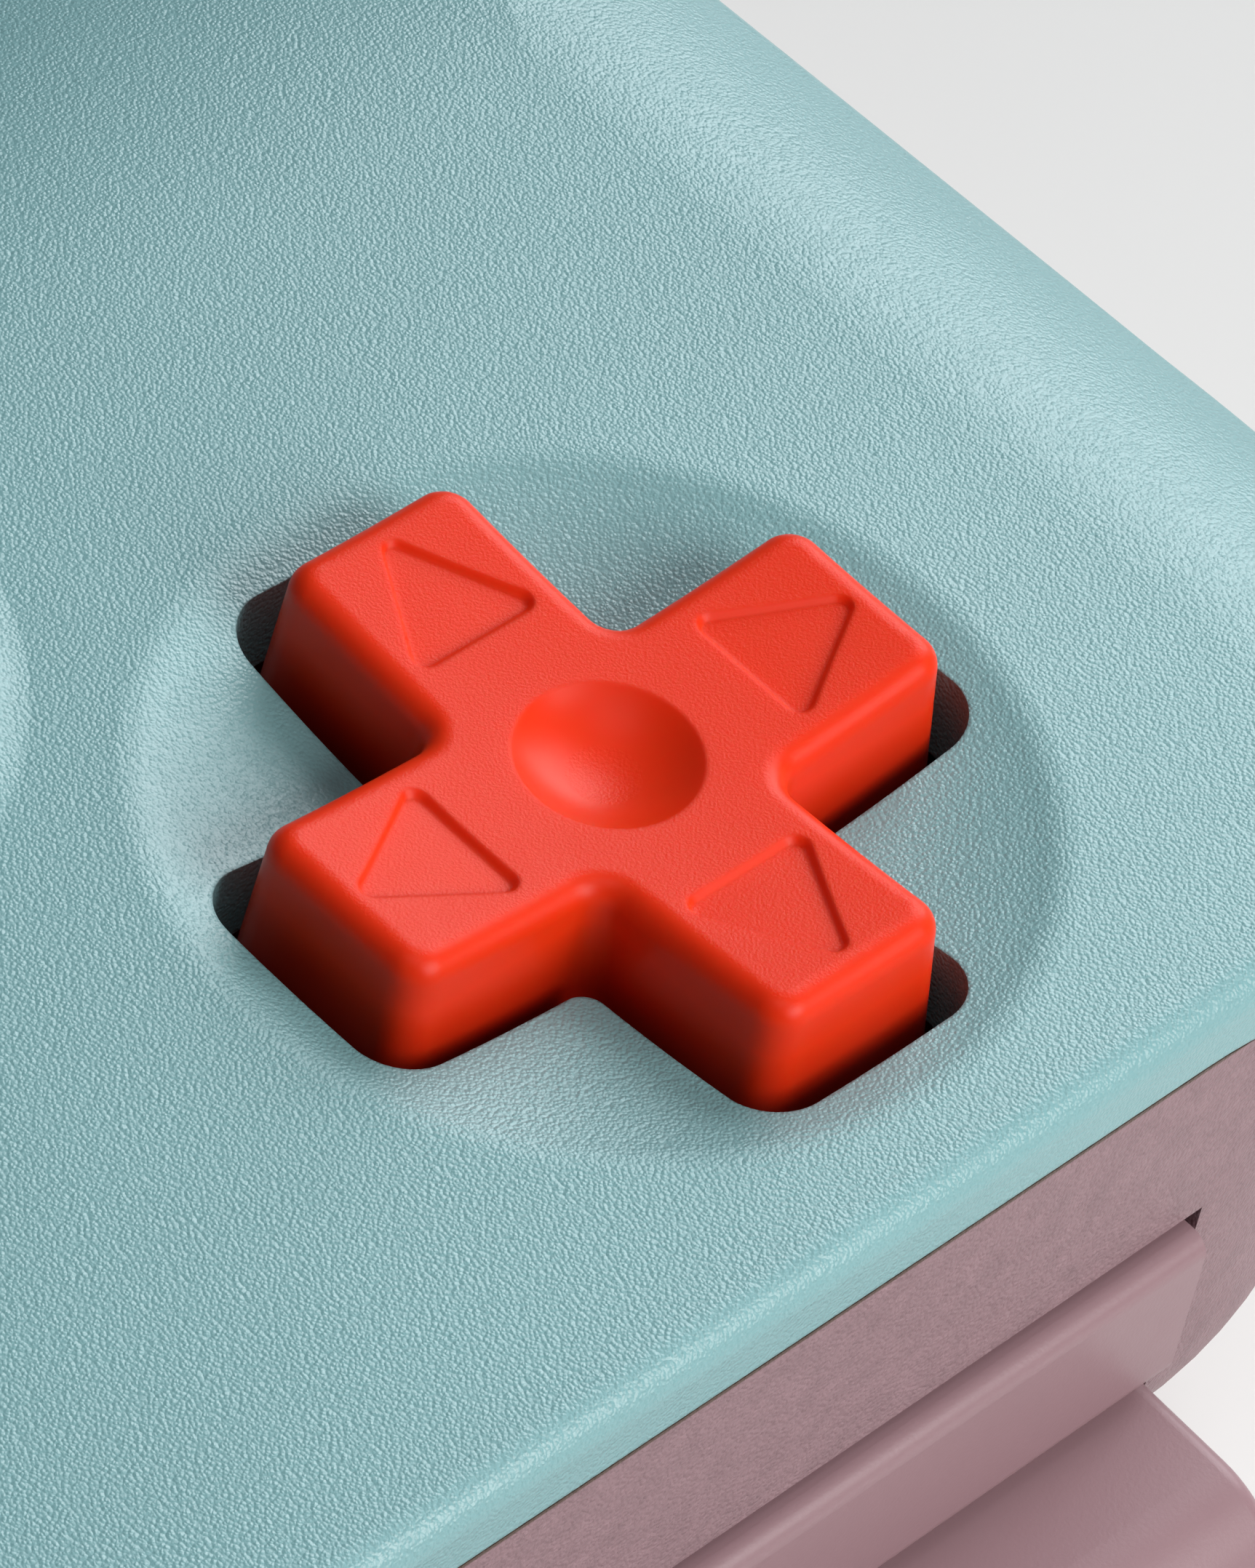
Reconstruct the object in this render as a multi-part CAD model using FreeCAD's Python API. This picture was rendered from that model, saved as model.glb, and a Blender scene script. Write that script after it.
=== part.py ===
import FreeCAD, Part
import math
import os

Vec = FreeCAD.Vector

# Wireless game controller, lying on its back. Millimetres.
# X runs to the player's right, Y away from the player, Z up through the face.
# The origin is the middle of the flat underside, which is what the controller rests on.

# Outline and thickness of the two shells
face_z = 36.0
half_width = 80.0
top_edge_y = 37.0
arch_y = -26.0
grip_end_y = -52.0
grip_outer_x = 77.0
grip_inner_x = 43.0
arch_x = 34.0
corner_radius = 20.0
grip_outer_radius = 17.0
grip_inner_radius = 15.0
arch_radius = 18.0
shell_wall = 2.0
face_edge_radius = 1.2
under_edge_radius = 10.0

# Side profile: the face bends down over the grips, the underside rises to the triggers
bend_y = -22.0
bend_radius = 70.0
slope_end_y = -57.0
slope_end_z = 22.5
slope_end_radius = 7.0
heel_radius = 13.0
rise_start_y = 16.0
rise_end_z = 9.0
rise_radius = 30.0

# Front profile: the face rolls off towards both ends
roll_x = 88.0
roll_radius = 20.0

# Depth by which pieces of one solid run into each other before they are joined
fuse_overlap = 0.2

# Seam between the shells, and the tongue that lines them up
seam_drop = 3.0
seam_end_z = 25.0
seam_bend_in_x = 60.0
seam_bend_out_x = 74.0
seam_bend_radius = 14.0
tongue_height = 1.2
tongue_wall = 0.9
tongue_clearance = 0.1
seam_groove_height = 0.08
seam_groove_depth = 0.25

# Direction pad and its dish
pad_x = -46.0
pad_to_top_edge = 18.7
pad_length = 24.0
pad_arm_width = 7.7
pad_top_above_face = 1.9
pad_hollow_radius = 87.0
pad_draft_angle = 4.0
pad_tip_corner = 1.2
pad_root_corner = 1.0
pad_top_edge_radius = 0.85
pad_dimple_diameter = 6.4
pad_dimple_depth = 1.15
pad_side_gap = 1.13
pad_end_gap = 1.4
pad_slot_tip_corner = 2.0
pad_slot_root_corner = 0.8
pad_flange_radius = 14.6
pad_flange_thickness = 1.5
pad_tilt_room = 1.5
pad_plunger_radius = 2.4
pad_plunger_reach = 8.2
pad_plunger_gap = 0.8
pad_plunger_length = 3.2
pad_stem_wall = 1.6
pad_pivot_above_board = 7.5
pad_ball_radius = 1.5
pad_post_wall = 0.9
pad_seat_height = 0.7
arrow_base = 5.8
arrow_height = 5.3
arrow_reach = 11.4
arrow_depth = 0.2
arrow_corner = 0.5
arrow_wall_run = 0.9
arrow_brim = 0.3
dish_depth = 1.95
dish_radius = 15.25
dish_rim_radius = 9.0
dish_backing_radius = 17.0
dish_floor_wall = 2.15

# Face buttons
button_spread = 9.0
button_radius = 4.5
button_proud = 2.7
button_clearance = 0.2
button_crown_radius = 16.0
button_edge_bevel = 0.4
button_flange_overhang = 1.1
button_flange_thickness = 1.4
button_seat_gap = 0.3
button_plunger_radius = 2.0
button_plunger_length = 4.4
button_travel = 1.2
button_contact_gap = 0.15

# Sticks
stick_x = 22.5
stick_y = -4.9
stick_pivot_above_board = 7.0
stick_collar_radius = 14.5
stick_collar_height = 1.6
stick_collar_crest_radius = 11.6
stick_collar_sag = 0.25
stick_collar_roll = 0.45
stick_collar_lean = 0.3
stick_collar_shoulder = 0.25
stick_opening_radius = 9.8
stick_dome_radius = 12.0
stick_dome_wall = 1.2
stick_dome_gap = 0.5
stick_dome_angle = 72.0
stick_skirt_radius = 13.7
stick_skirt_depth = 4.0
stick_neck_radius = 4.5
stick_cap_radius = 9.0
stick_cap_top_above_face = 11.0
stick_cap_height = 5.0
stick_cap_hollow_radius = 30.0
stick_cap_hollow_depth = 0.9
stick_cap_top_bevel = 0.6
stick_cap_low_bevel = 0.7
stick_cap_lower_lip = 1.1
stick_grip_width = 1.6
stick_grip_height = 2.6
stick_grip_proud = 0.35
stick_grip_bevel = 0.45
stick_shaft_radius = 2.2
stick_can_width = 13.4
stick_can_wall = 1.0
stick_can_height = 9.7
cradle_height = 5.6
cradle_gap = 0.2
cradle_inner_x = 4.3
cradle_inner_y = 4.8
click_travel = 0.5
click_room = 0.12
click_switch_width = 3.2
click_switch_depth = 1.25
yoke_height = 3.2
yoke_half = 4.1
yoke_inner_x = 3.1
yoke_inner_y = 2.6
yoke_axle_radius = 1.0
trunnion_radius = 0.7
side_room = 0.1
pivot_clearance = 0.05
sensor_thickness = 2.4
sensor_width = 9.0
sensor_height = 4.2
sensor_dial_radius = 1.5

# Small buttons in the middle, and the row of lights
small_button_x = 11.0
small_button_y = 22.0
small_button_length = 7.0
small_button_width = 3.4
pill_flat = 0.01
home_button_y = 9.0
home_button_radius = 4.2
small_button_proud = 0.9
small_button_travel = 0.6
small_button_flange = 0.9
small_button_bevel = 0.3
small_plunger_length = 8.0
light_count = 4
light_pitch = 3.6
light_radius = 0.8
light_y = -17.5
light_clearance = 0.05
light_sunk = 0.1
light_bar_height = 1.2
light_bar_margin = 2.1
light_bar_width = 2.6
light_bar_gap = 0.7
light_foot_radius = 1.0
light_foot_gap = 0.3

# Main board and what sits on it
board_top_z = 19.5
board_thickness = 1.6
board_half_width = 59.0
board_front_y = 29.0
board_back_y = -21.0
board_corner = 5.0
board_tab_width = 7.8
board_tab_reach = 4.0
board_boss_gap = 0.4
chip_height = 0.9
board_chips = ((46.0, -10.0, 7.0, 7.0), (46.0, 2.0, 5.0, 6.0), (-30.0, 4.0, 4.0, 5.0))
lead_socket_width = 4.8
lead_socket_height = 2.2
shield_x = -44.0
shield_y = -2.0
shield_length = 16.0
shield_width = 14.0
shield_height = 2.2
shield_edge_bevel = 0.4
membrane_sheet = 0.8
membrane_corner = 4.0
membrane_border = 0.1
contact_taper = 0.72
pad_contact_radius = 2.2
button_contact_radius = 2.0
small_contact_radius = 1.9
small_membrane_border = 0.9
small_membrane_corner = 1.8
board_post_radius = 2.4
board_screw_radius = 0.85
board_screw_head_radius = 1.9
board_screw_head_height = 1.3
board_screw_length = 6.0
board_screw_hole_gap = 0.15
board_posts = ((38.0, -13.0), (33.0, 25.0))

# Case screws
case_screw_radius = 1.2
case_screw_head_radius = 2.1
case_screw_head_height = 1.6
case_screw_depth = 4.5
case_boss_radius = 3.2
case_screw_bite = 7.0
case_screw_hole_gap = 0.3
case_screw_head_gap = 0.2
blind_room = 0.5
boss_gap = 0.02
case_screws = ((20.0, 25.0, 21.0), (70.0, 6.0, 21.0), (61.0, -46.5, 12.5), (12.0, -22.4, 21.0))

# Cross recess of every screw
recess_share = 0.5
recess_arm_share = 0.62
recess_width = 0.5

# Battery
battery_length = 48.0
battery_width = 31.0
battery_height = 9.0
battery_y = -2.0
tray_wall = 1.2
tray_floor = 1.2
tray_height = 8.0
tray_lift = 1.0
tray_rib = 1.6
tray_rib_pitch = 16.0
tray_rib_count = 3
tray_rib_inset = 3.0
battery_clearance = 0.2
battery_end_radius = 2.0
lead_radius = 0.9
lead_y = 3.0
lead_bend_radius = 4.0
lead_run = 4.0
lead_notch_gap = 0.6

# Rumble motors
motor_x = 47.0
motor_y = -33.0
motor_z = 13.5
motor_radius = 8.5
motor_length = 12.0
motor_shaft_radius = 1.0
motor_shaft_length = 8.0
weight_radius = 9.2
weight_gap = 0.8
weight_length = 6.0
motor_edge_bevel = 0.7
motor_clearance = 0.05
motor_rib = 1.6
motor_rib_inset = 1.2
motor_rib_reach = 2.0
weight_hub_wall = 1.6

# Bumpers, triggers and the bracket that carries them
window_x = 28.1
window_end_x = 58.5
window_top_z = 24.2
window_y = 29.5
bumper_proud = 1.0
bumper_depth = 4.2
bumper_bottom_z = 16.5
bumper_top_z = 23.7
bumper_pin_x = 31.0
bumper_pin_y = 32.0
bumper_boss_radius = 2.0
bumper_edge_radius = 0.8
pin_radius = 1.0
pin_clearance = 0.06
lug_clearance = 0.02
side_gap = 0.5
trigger_pin_y = 31.0
trigger_pin_z = 12.2
trigger_hub_radius = 2.5
trigger_apron_radius = 6.4
trigger_apron_start = 0.6
trigger_guard_radius = 3.2
trigger_guard_drop = 1.0
trigger_apron_top = 2.2
trigger_front_y = 46.0
trigger_back_y = 35.2
trigger_edge_radius = 0.8
# Side outline of the trigger: place along Y, drop below the bumper, corner radius
trigger_profile = ((35.2, 0.7, 1.0), (43.8, 1.1, 4.0), (46.8, 8.9, 5.0), (42.8, 11.9, 1.4), (35.2, 7.3, 2.0))
lug_thickness = 1.5
lug_gap = 0.3
bracket_shelf_z = 15.1
bracket_shelf = 1.0
bracket_top_z = 26.0
bracket_top_plate = 1.6
bracket_back_y = 29.6
bracket_back_wall = 1.3
bracket_front_y = 33.9
bracket_end_room = 2.3
bracket_back_start_x = 34.0
bracket_screw_x = 24.9
bracket_screw_y = 30.4
bracket_tab_reach = 2.4
lug_stem_back = 1.4
spring_wire = 0.5
spring_x = 43.0
spring_length = 3.0
spring_room = 0.5
spring_bore_gap = 0.25
shoulder_board_thickness = 0.8
shoulder_switch_x = 50.0
shoulder_switch_reach = 1.0
shoulder_board_length = 12.0
shoulder_switch_size = 4.2
shoulder_knob_radius = 1.0

# Socket and pairing button in the top edge
socket_width = 8.94
socket_height = 3.26
socket_wall = 0.3
socket_depth = 7.3
socket_back_wall = 1.0
socket_tongue = 0.7
socket_tongue_width = 6.6
socket_tongue_inset = 1.2
socket_inset = 0.2
socket_cut_gap = 0.3
pairing_x = 12.0
pairing_radius = 1.3
pairing_z = 21.9
pairing_travel = 0.4
pairing_proud = 0.3
pairing_flange = 1.0
pairing_overhang = 0.7
pairing_clearance = 0.15
pairing_switch_reach = 0.7
pairing_switch_width = 4.4
pairing_switch_depth = 4.3
pairing_switch_height = 3.6

# Places worked out from the sizes above
pad_y = top_edge_y - pad_to_top_edge
pad_top_z = face_z + pad_top_above_face
dish_sphere_radius = (dish_radius ** 2 + dish_depth ** 2) / (2 * dish_depth)
dish_bottom_z = face_z - dish_depth
backing_z = dish_bottom_z - dish_floor_wall
ceiling_z = face_z - shell_wall
pad_flange_top = backing_z - pad_tilt_room
pad_flange_bottom = pad_flange_top - pad_flange_thickness
board_bottom_z = board_top_z - board_thickness
sheet_top_z = board_top_z + membrane_sheet
pad_pivot_z = board_top_z + pad_pivot_above_board
pad_plunger_z = pad_flange_bottom - pad_plunger_length
stick_pivot_z = board_top_z + stick_pivot_above_board
stick_cap_top_z = face_z + stick_cap_top_above_face
long_board_screw_z = board_top_z - board_screw_length
cluster_x = -pad_x
button_flange_top = backing_z - button_seat_gap
button_flange_bottom = button_flange_top - button_flange_thickness
button_plunger_z = button_flange_bottom - button_plunger_length
button_contact_z = button_plunger_z - button_travel - button_contact_gap
small_flange_top = ceiling_z - button_seat_gap
small_flange_bottom = small_flange_top - button_flange_thickness
small_plunger_z = small_flange_bottom - small_plunger_length
small_contact_z = small_plunger_z - small_button_travel - button_contact_gap
cradle_outer = stick_can_width / 2 - stick_can_wall - cradle_gap
socket_z = board_top_z + socket_height / 2
tray_half_x = battery_length / 2 + battery_clearance + tray_wall
tray_half_y = battery_width / 2 + battery_clearance + tray_wall
tray_floor_z = shell_wall + tray_lift
lead_start_x = battery_length / 2
lead_end_x = lead_start_x + lead_run + lead_bend_radius
lead_z = tray_floor_z + tray_floor + battery_height / 2
lug_in_x = window_x + side_gap
hub_start_x = lug_in_x + lug_thickness + lug_gap
hub_end_x = window_end_x - bracket_end_room - lug_thickness - lug_gap
lug_out_x = hub_end_x + lug_gap
spring_bore_radius = pin_radius + spring_bore_gap
spring_coil_radius = spring_bore_radius + spring_wire


# Helpers

def box(x0, x1, y0, y1, z0, z1):
    return Part.makeBox(x1 - x0, y1 - y0, z1 - z0, Vec(x0, y0, z0))


def rod(start, direction, length, radius):
    return Part.makeCylinder(radius, length, Vec(*start), Vec(*direction))


def post(x, y, z0, z1, radius):
    return rod((x, y, z0), (0, 0, 1), z1 - z0, radius)


def tube(x, y, z0, z1, outer, inner):
    return post(x, y, z0, z1, outer).cut(post(x, y, z0 - 1, z1 + 1, inner))


def ball(x, y, z, radius):
    return Part.makeSphere(radius, Vec(x, y, z))


def fused(pieces):
    pieces = list(pieces)
    if len(pieces) == 1:
        return pieces[0]
    return pieces[0].fuse(pieces[1:]).removeSplitter()


def mirrored(shape):
    return shape.mirror(Vec(0, 0, 0), Vec(1, 0, 0))


def both_sides(shape):
    return [shape, mirrored(shape)]


def rounded_outline(corners):
    """Closed wire through corners (point, radius), each corner turned into a tangent arc."""
    points = [Vec(*corner[0]) for corner in corners]
    radii = [corner[1] for corner in corners]
    count = len(points)
    entries = []
    for i in range(count):
        before = (points[i - 1] - points[i]).normalize()
        after = (points[(i + 1) % count] - points[i]).normalize()
        if radii[i] == 0:
            entries.append((points[i], None, points[i]))
            continue
        half = before.getAngle(after) / 2
        reach = radii[i] / math.tan(half)
        middle = (before + after).normalize()
        apex = points[i] + middle * (radii[i] / math.sin(half) - radii[i])
        entries.append((points[i] + before * reach, apex, points[i] + after * reach))
    edges = []
    for i in range(count):
        start, apex, end = entries[i]
        if apex is not None:
            edges.append(Part.Arc(start, apex, end).toShape())
        following = entries[(i + 1) % count][0]
        if end.distanceToPoint(following) > 1e-6:
            edges.append(Part.LineSegment(end, following).toShape())
    return Part.Wire(edges)


def grown(face, amount):
    if abs(amount) < 1e-9:
        return face
    return face.makeOffset2D(amount)


def slab(corners, direction, grow=0.0):
    face = grown(Part.Face(rounded_outline(corners)), grow)
    return face.extrude(Vec(*direction))


def edges_where(shape, test):
    return [edge for edge in shape.Edges if test(edge)]


def middle_of(edge):
    return edge.valueAt((edge.FirstParameter + edge.LastParameter) / 2)


# Outer form shared by both shells

def plan_face(grow=0.0):
    right = [
        ((half_width, top_edge_y, 0), corner_radius),
        ((grip_outer_x, grip_end_y, 0), grip_outer_radius),
        ((grip_inner_x, grip_end_y, 0), grip_inner_radius),
        ((arch_x, arch_y, 0), arch_radius),
    ]
    left = [((-x, y, z), radius) for (x, y, z), radius in reversed(right)]
    return grown(Part.Face(rounded_outline(right + left)), grow)


def plan_prism(z0, z1, grow=0.0):
    face = plan_face(grow)
    face.translate(Vec(0, 0, z0))
    return face.extrude(Vec(0, 0, z1 - z0))


def side_prism(grow=0.0):
    reach = half_width + 20
    corners = [
        ((-reach, top_edge_y + 8, face_z), 0),
        ((-reach, bend_y, face_z), bend_radius),
        ((-reach, slope_end_y, slope_end_z), slope_end_radius),
        ((-reach, slope_end_y, 0), heel_radius),
        ((-reach, rise_start_y, 0), rise_radius),
        ((-reach, top_edge_y, rise_end_z), 0),
        ((-reach, top_edge_y + 8, rise_end_z), 0),
    ]
    return slab(corners, (2 * reach, 0, 0), grow)


def front_prism(grow=0.0):
    reach = top_edge_y - slope_end_y + 20
    corners = [
        ((-roll_x, slope_end_y - 10, face_z), roll_radius),
        ((roll_x, slope_end_y - 10, face_z), roll_radius),
        ((roll_x, slope_end_y - 10, -10), 0),
        ((-roll_x, slope_end_y - 10, -10), 0),
    ]
    return slab(corners, (0, reach, 0), grow)


def outer_form(wall=0.0):
    """The closed outer shape, or the shape a wall's thickness inside it."""
    form = plan_prism(-5, face_z + 5, -wall).common(side_prism(-wall))
    form = form.common(front_prism(-wall))
    outline = plan_face(-wall).OuterWire

    def on_wall(edge, above):
        middle = middle_of(edge)
        if (middle.z > slope_end_z - wall - 4) != above:
            return False
        ends = edge.Vertexes
        upright = len(ends) == 2 and math.hypot(ends[0].X - ends[1].X, ends[0].Y - ends[1].Y) < 1e-4
        spot = Part.Vertex(middle.x, middle.y, 0)
        return not upright and outline.distToShape(spot)[0] < 1e-3

    under = under_edge_radius - wall
    if under > 0.1:
        form = form.makeFillet(under, edges_where(form, lambda edge: on_wall(edge, False)))
    if face_edge_radius - wall > 0.1:
        form = form.makeFillet(face_edge_radius - wall, edges_where(form, lambda edge: on_wall(edge, True)))
    return form


def below_seam(raised=0.0):
    """Everything under the seam, which runs a fixed drop below the face."""
    reach = top_edge_y - slope_end_y + 40
    far = half_width + 30
    high = face_z - seam_drop + raised
    low = seam_end_z + raised
    start_y = slope_end_y - 20
    corners = [
        ((-far, start_y, -20), 0),
        ((-far, start_y, low), 0),
        ((-seam_bend_out_x, start_y, low), seam_bend_radius),
        ((-seam_bend_in_x, start_y, high), seam_bend_radius),
        ((seam_bend_in_x, start_y, high), seam_bend_radius),
        ((seam_bend_out_x, start_y, low), seam_bend_radius),
        ((far, start_y, low), 0),
        ((far, start_y, -20), 0),
    ]
    across = slab(corners, (0, reach, 0))
    side = [
        ((-far, top_edge_y + 20, high), 0),
        ((-far, bend_y, high), bend_radius),
        ((-far, slope_end_y, slope_end_z - seam_drop + raised), 0),
        ((-far, slope_end_y - 20, slope_end_z - seam_drop + raised), 0),
        ((-far, slope_end_y - 20, -20), 0),
        ((-far, top_edge_y + 20, -20), 0),
    ]
    return across.common(slab(side, (2 * far, 0, 0)))


outer_shape = outer_form()
cavity_shape = outer_form(shell_wall)


# Direction pad

def cross_face(half_length, half_arm, tip_corner, root_corner, z):
    a, b = half_length, half_arm
    quarter = [((b, a), tip_corner), ((b, b), root_corner), ((a, b), tip_corner)]
    corners = []
    for turn in range(4):
        for (x, y), radius in quarter:
            for _ in range(turn):
                x, y = y, -x
            corners.append(((x, y, z), radius))
    return Part.Face(rounded_outline(corners))


def pad_cross():
    """Tapered cross with a hollow top, a rounded rim, a dimple and four sunk arrows."""
    taper = math.tan(math.radians(pad_draft_angle))
    top = pad_top_z + pad_length ** 2 / (8 * pad_hollow_radius) + 0.5
    sections = []
    for z in (pad_flange_top - fuse_overlap, top):
        grow = (pad_top_z - z) * taper
        face = cross_face(pad_length / 2 + grow, pad_arm_width / 2 + grow, pad_tip_corner, pad_root_corner, z)
        sections.append(face.OuterWire)
    cross = Part.makeLoft(sections, True, True)
    hollow = ball(0, 0, pad_top_z + pad_hollow_radius, pad_hollow_radius)
    cross = cross.cut(hollow)
    rim = edges_where(cross, lambda edge: middle_of(edge).z > pad_top_z - 0.2
                      and abs(edge.Vertexes[0].Z - edge.Vertexes[-1].Z) < 1.2)
    cross = cross.makeFillet(pad_top_edge_radius, rim)
    dimple_radius = pad_dimple_diameter / 2
    dimple_sphere = (dimple_radius ** 2 + pad_dimple_depth ** 2) / (2 * pad_dimple_depth)
    dimple_z = pad_top_z + dimple_radius ** 2 / (2 * pad_hollow_radius)
    cross = cross.cut(ball(0, 0, dimple_z - pad_dimple_depth + dimple_sphere, dimple_sphere))
    return cross.cut(arrow_cutters())


def arrow_cutters():
    """Shallow triangles with sloped walls, which point outwards and lie on the hollow top."""
    half = arrow_height / 2
    corners = [
        ((0, half, pad_top_z), arrow_corner),
        ((arrow_base / 2, -half, pad_top_z), arrow_corner),
        ((-arrow_base / 2, -half, pad_top_z), arrow_corner),
    ]
    outline = Part.Face(rounded_outline(corners))
    sections = []
    for height in (-arrow_depth, arrow_brim):
        section = grown(outline, height * arrow_wall_run).OuterWire
        section.translate(Vec(0, 0, height))
        sections.append(section)
    arrow = Part.makeLoft(sections, True, True)
    lean = math.degrees(math.asin((arrow_reach - half) / pad_hollow_radius))
    arrow.rotate(Vec(0, 0, pad_top_z + pad_hollow_radius), Vec(1, 0, 0), lean)
    arrows = []
    for turn in range(4):
        copy = arrow.copy()
        copy.rotate(Vec(0, 0, 0), Vec(0, 0, 1), 90 * turn)
        arrows.append(copy)
    return arrows


def direction_pad():
    flange = post(0, 0, pad_flange_bottom, pad_flange_top, pad_flange_radius)
    pad = fused([pad_cross(), flange])
    plungers = []
    for turn in range(4):
        angle = math.radians(90 * turn)
        x = pad_plunger_reach * math.cos(angle)
        y = pad_plunger_reach * math.sin(angle)
        plungers.append(post(x, y, pad_plunger_z, pad_flange_bottom + fuse_overlap, pad_plunger_radius))
    stem = post(0, 0, pad_pivot_z + pad_seat_height, pad_flange_bottom + fuse_overlap,
                pad_ball_radius + pad_stem_wall)
    pad = fused([pad] + plungers + [stem])
    pad = pad.cut(ball(0, 0, pad_pivot_z, pad_ball_radius + pivot_clearance))
    pad.translate(Vec(pad_x, pad_y, 0))
    return pad


def pad_pivot_ball():
    return ball(pad_x, pad_y, pad_pivot_z, pad_ball_radius)


def pad_pivot_post():
    stand = post(pad_x, pad_y, board_top_z, pad_pivot_z - pad_seat_height, pad_ball_radius + pad_post_wall)
    return stand.cut(ball(pad_x, pad_y, pad_pivot_z, pad_ball_radius + pivot_clearance))


# Rubber membranes

def membrane(face, contacts, top_z, holes=()):
    """A rubber sheet on the board with a raised contact under each plunger."""
    sheet = face.extrude(Vec(0, 0, membrane_sheet))
    cones = []
    for x, y, radius in contacts:
        height = top_z - sheet_top_z
        cones.append(Part.makeCone(radius, radius * contact_taper, height, Vec(x, y, sheet_top_z)))
    shape = fused([sheet] + cones)
    for x, y, radius in holes:
        shape = shape.cut(post(x, y, board_top_z - 1, top_z + 1, radius))
    return shape


def pad_membrane():
    reach = pad_plunger_reach
    spots = [(pad_x + reach, pad_y), (pad_x - reach, pad_y), (pad_x, pad_y + reach), (pad_x, pad_y - reach)]
    face = membrane_square(pad_x, pad_y, reach + pad_contact_radius + membrane_border)
    contacts = [(x, y, pad_contact_radius) for x, y in spots]
    hole = (pad_x, pad_y, pad_ball_radius + pad_post_wall + pad_plunger_gap)
    return membrane(face, contacts, pad_plunger_z - pad_plunger_gap, [hole])


def membrane_square(x, y, room):
    corners = [
        ((x - room, y - room, board_top_z), membrane_corner),
        ((x + room, y - room, board_top_z), membrane_corner),
        ((x + room, y + room, board_top_z), membrane_corner),
        ((x - room, y + room, board_top_z), membrane_corner),
    ]
    return Part.Face(rounded_outline(corners))


def face_button_spots():
    return {
        "north": (cluster_x, pad_y + button_spread),
        "east": (cluster_x + button_spread, pad_y),
        "south": (cluster_x, pad_y - button_spread),
        "west": (cluster_x - button_spread, pad_y),
    }


def face_button_membrane():
    face = membrane_square(cluster_x, pad_y, button_spread + button_contact_radius + membrane_border)
    contacts = [(x, y, button_contact_radius) for x, y in face_button_spots().values()]
    return membrane(face, contacts, button_contact_z)


def small_button_spots():
    return {
        "select": (-small_button_x, small_button_y),
        "start": (small_button_x, small_button_y),
        "home": (0.0, home_button_y),
    }


def centre_membrane():
    spots = small_button_spots().values()
    room = small_contact_radius + small_membrane_border
    wide = small_button_x + room
    corners = [
        ((-wide, small_button_y + room, board_top_z), small_membrane_corner),
        ((wide, small_button_y + room, board_top_z), small_membrane_corner),
        ((wide, small_button_y - room, board_top_z), small_membrane_corner),
        ((room, home_button_y - room, board_top_z), small_membrane_corner),
        ((-room, home_button_y - room, board_top_z), small_membrane_corner),
        ((-wide, small_button_y - room, board_top_z), small_membrane_corner),
    ]
    face = Part.Face(rounded_outline(corners))
    return membrane(face, [(x, y, small_contact_radius) for x, y in spots], small_contact_z)


# Buttons that slide

def face_button(x, y):
    dish_here = face_z - dish_depth + button_spread ** 2 / (2 * dish_sphere_radius)
    top = dish_here + button_proud
    cap = post(x, y, button_flange_top - fuse_overlap, top, button_radius)
    crown = ball(x, y, top - button_crown_radius, button_crown_radius)
    cap = cap.common(crown)
    rim = edges_where(cap, lambda edge: middle_of(edge).z > dish_here and len(edge.Vertexes) == 1)
    cap = cap.makeChamfer(button_edge_bevel, rim)
    flange = post(x, y, button_flange_bottom, button_flange_top, button_radius + button_flange_overhang)
    plunger = post(x, y, button_plunger_z, button_flange_bottom + fuse_overlap, button_plunger_radius)
    return fused([cap, flange, plunger])


def pill(x, y, z0, z1, length, width, bevel=0.0):
    half = length / 2
    round_end = width / 2 - pill_flat
    corners = [
        ((x - half, y - width / 2, z0), round_end),
        ((x + half, y - width / 2, z0), round_end),
        ((x + half, y + width / 2, z0), round_end),
        ((x - half, y + width / 2, z0), round_end),
    ]
    shape = slab(corners, (0, 0, z1 - z0))
    if bevel:
        rim = edges_where(shape, lambda edge: middle_of(edge).z > z1 - 1e-4)
        shape = shape.makeChamfer(bevel, rim)
    return shape


def small_button(x, y):
    top = face_z + small_button_proud
    cap = pill(x, y, small_flange_top - fuse_overlap, top, small_button_length, small_button_width,
               small_button_bevel)
    grow = 2 * small_button_flange
    flange = pill(x, y, small_flange_bottom, small_flange_top, small_button_length + grow, small_button_width + grow)
    plunger = post(x, y, small_plunger_z, small_flange_bottom + fuse_overlap, small_contact_radius)
    return fused([cap, flange, plunger])


def home_button():
    x, y = small_button_spots()["home"]
    cap = post(x, y, small_flange_top - fuse_overlap, face_z + small_button_proud, home_button_radius)
    rim = edges_where(cap, lambda edge: middle_of(edge).z > face_z and len(edge.Vertexes) == 1)
    cap = cap.makeChamfer(small_button_bevel, rim)
    flange = post(x, y, small_flange_bottom, small_flange_top, home_button_radius + small_button_flange)
    plunger = post(x, y, small_plunger_z, small_flange_bottom + fuse_overlap, small_contact_radius)
    return fused([cap, flange, plunger])


def light_spots():
    start = -light_pitch * (light_count - 1) / 2
    return [(start + light_pitch * i, light_y) for i in range(light_count)]


def face_drop(y):
    """How far the face has bent down at a place along Y."""
    turn = math.atan2(face_z - slope_end_z, bend_y - slope_end_y)
    bend_start = bend_y + bend_radius * math.tan(turn / 2)
    along = max(0.0, bend_start - y)
    return bend_radius - math.sqrt(bend_radius ** 2 - along ** 2)


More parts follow.
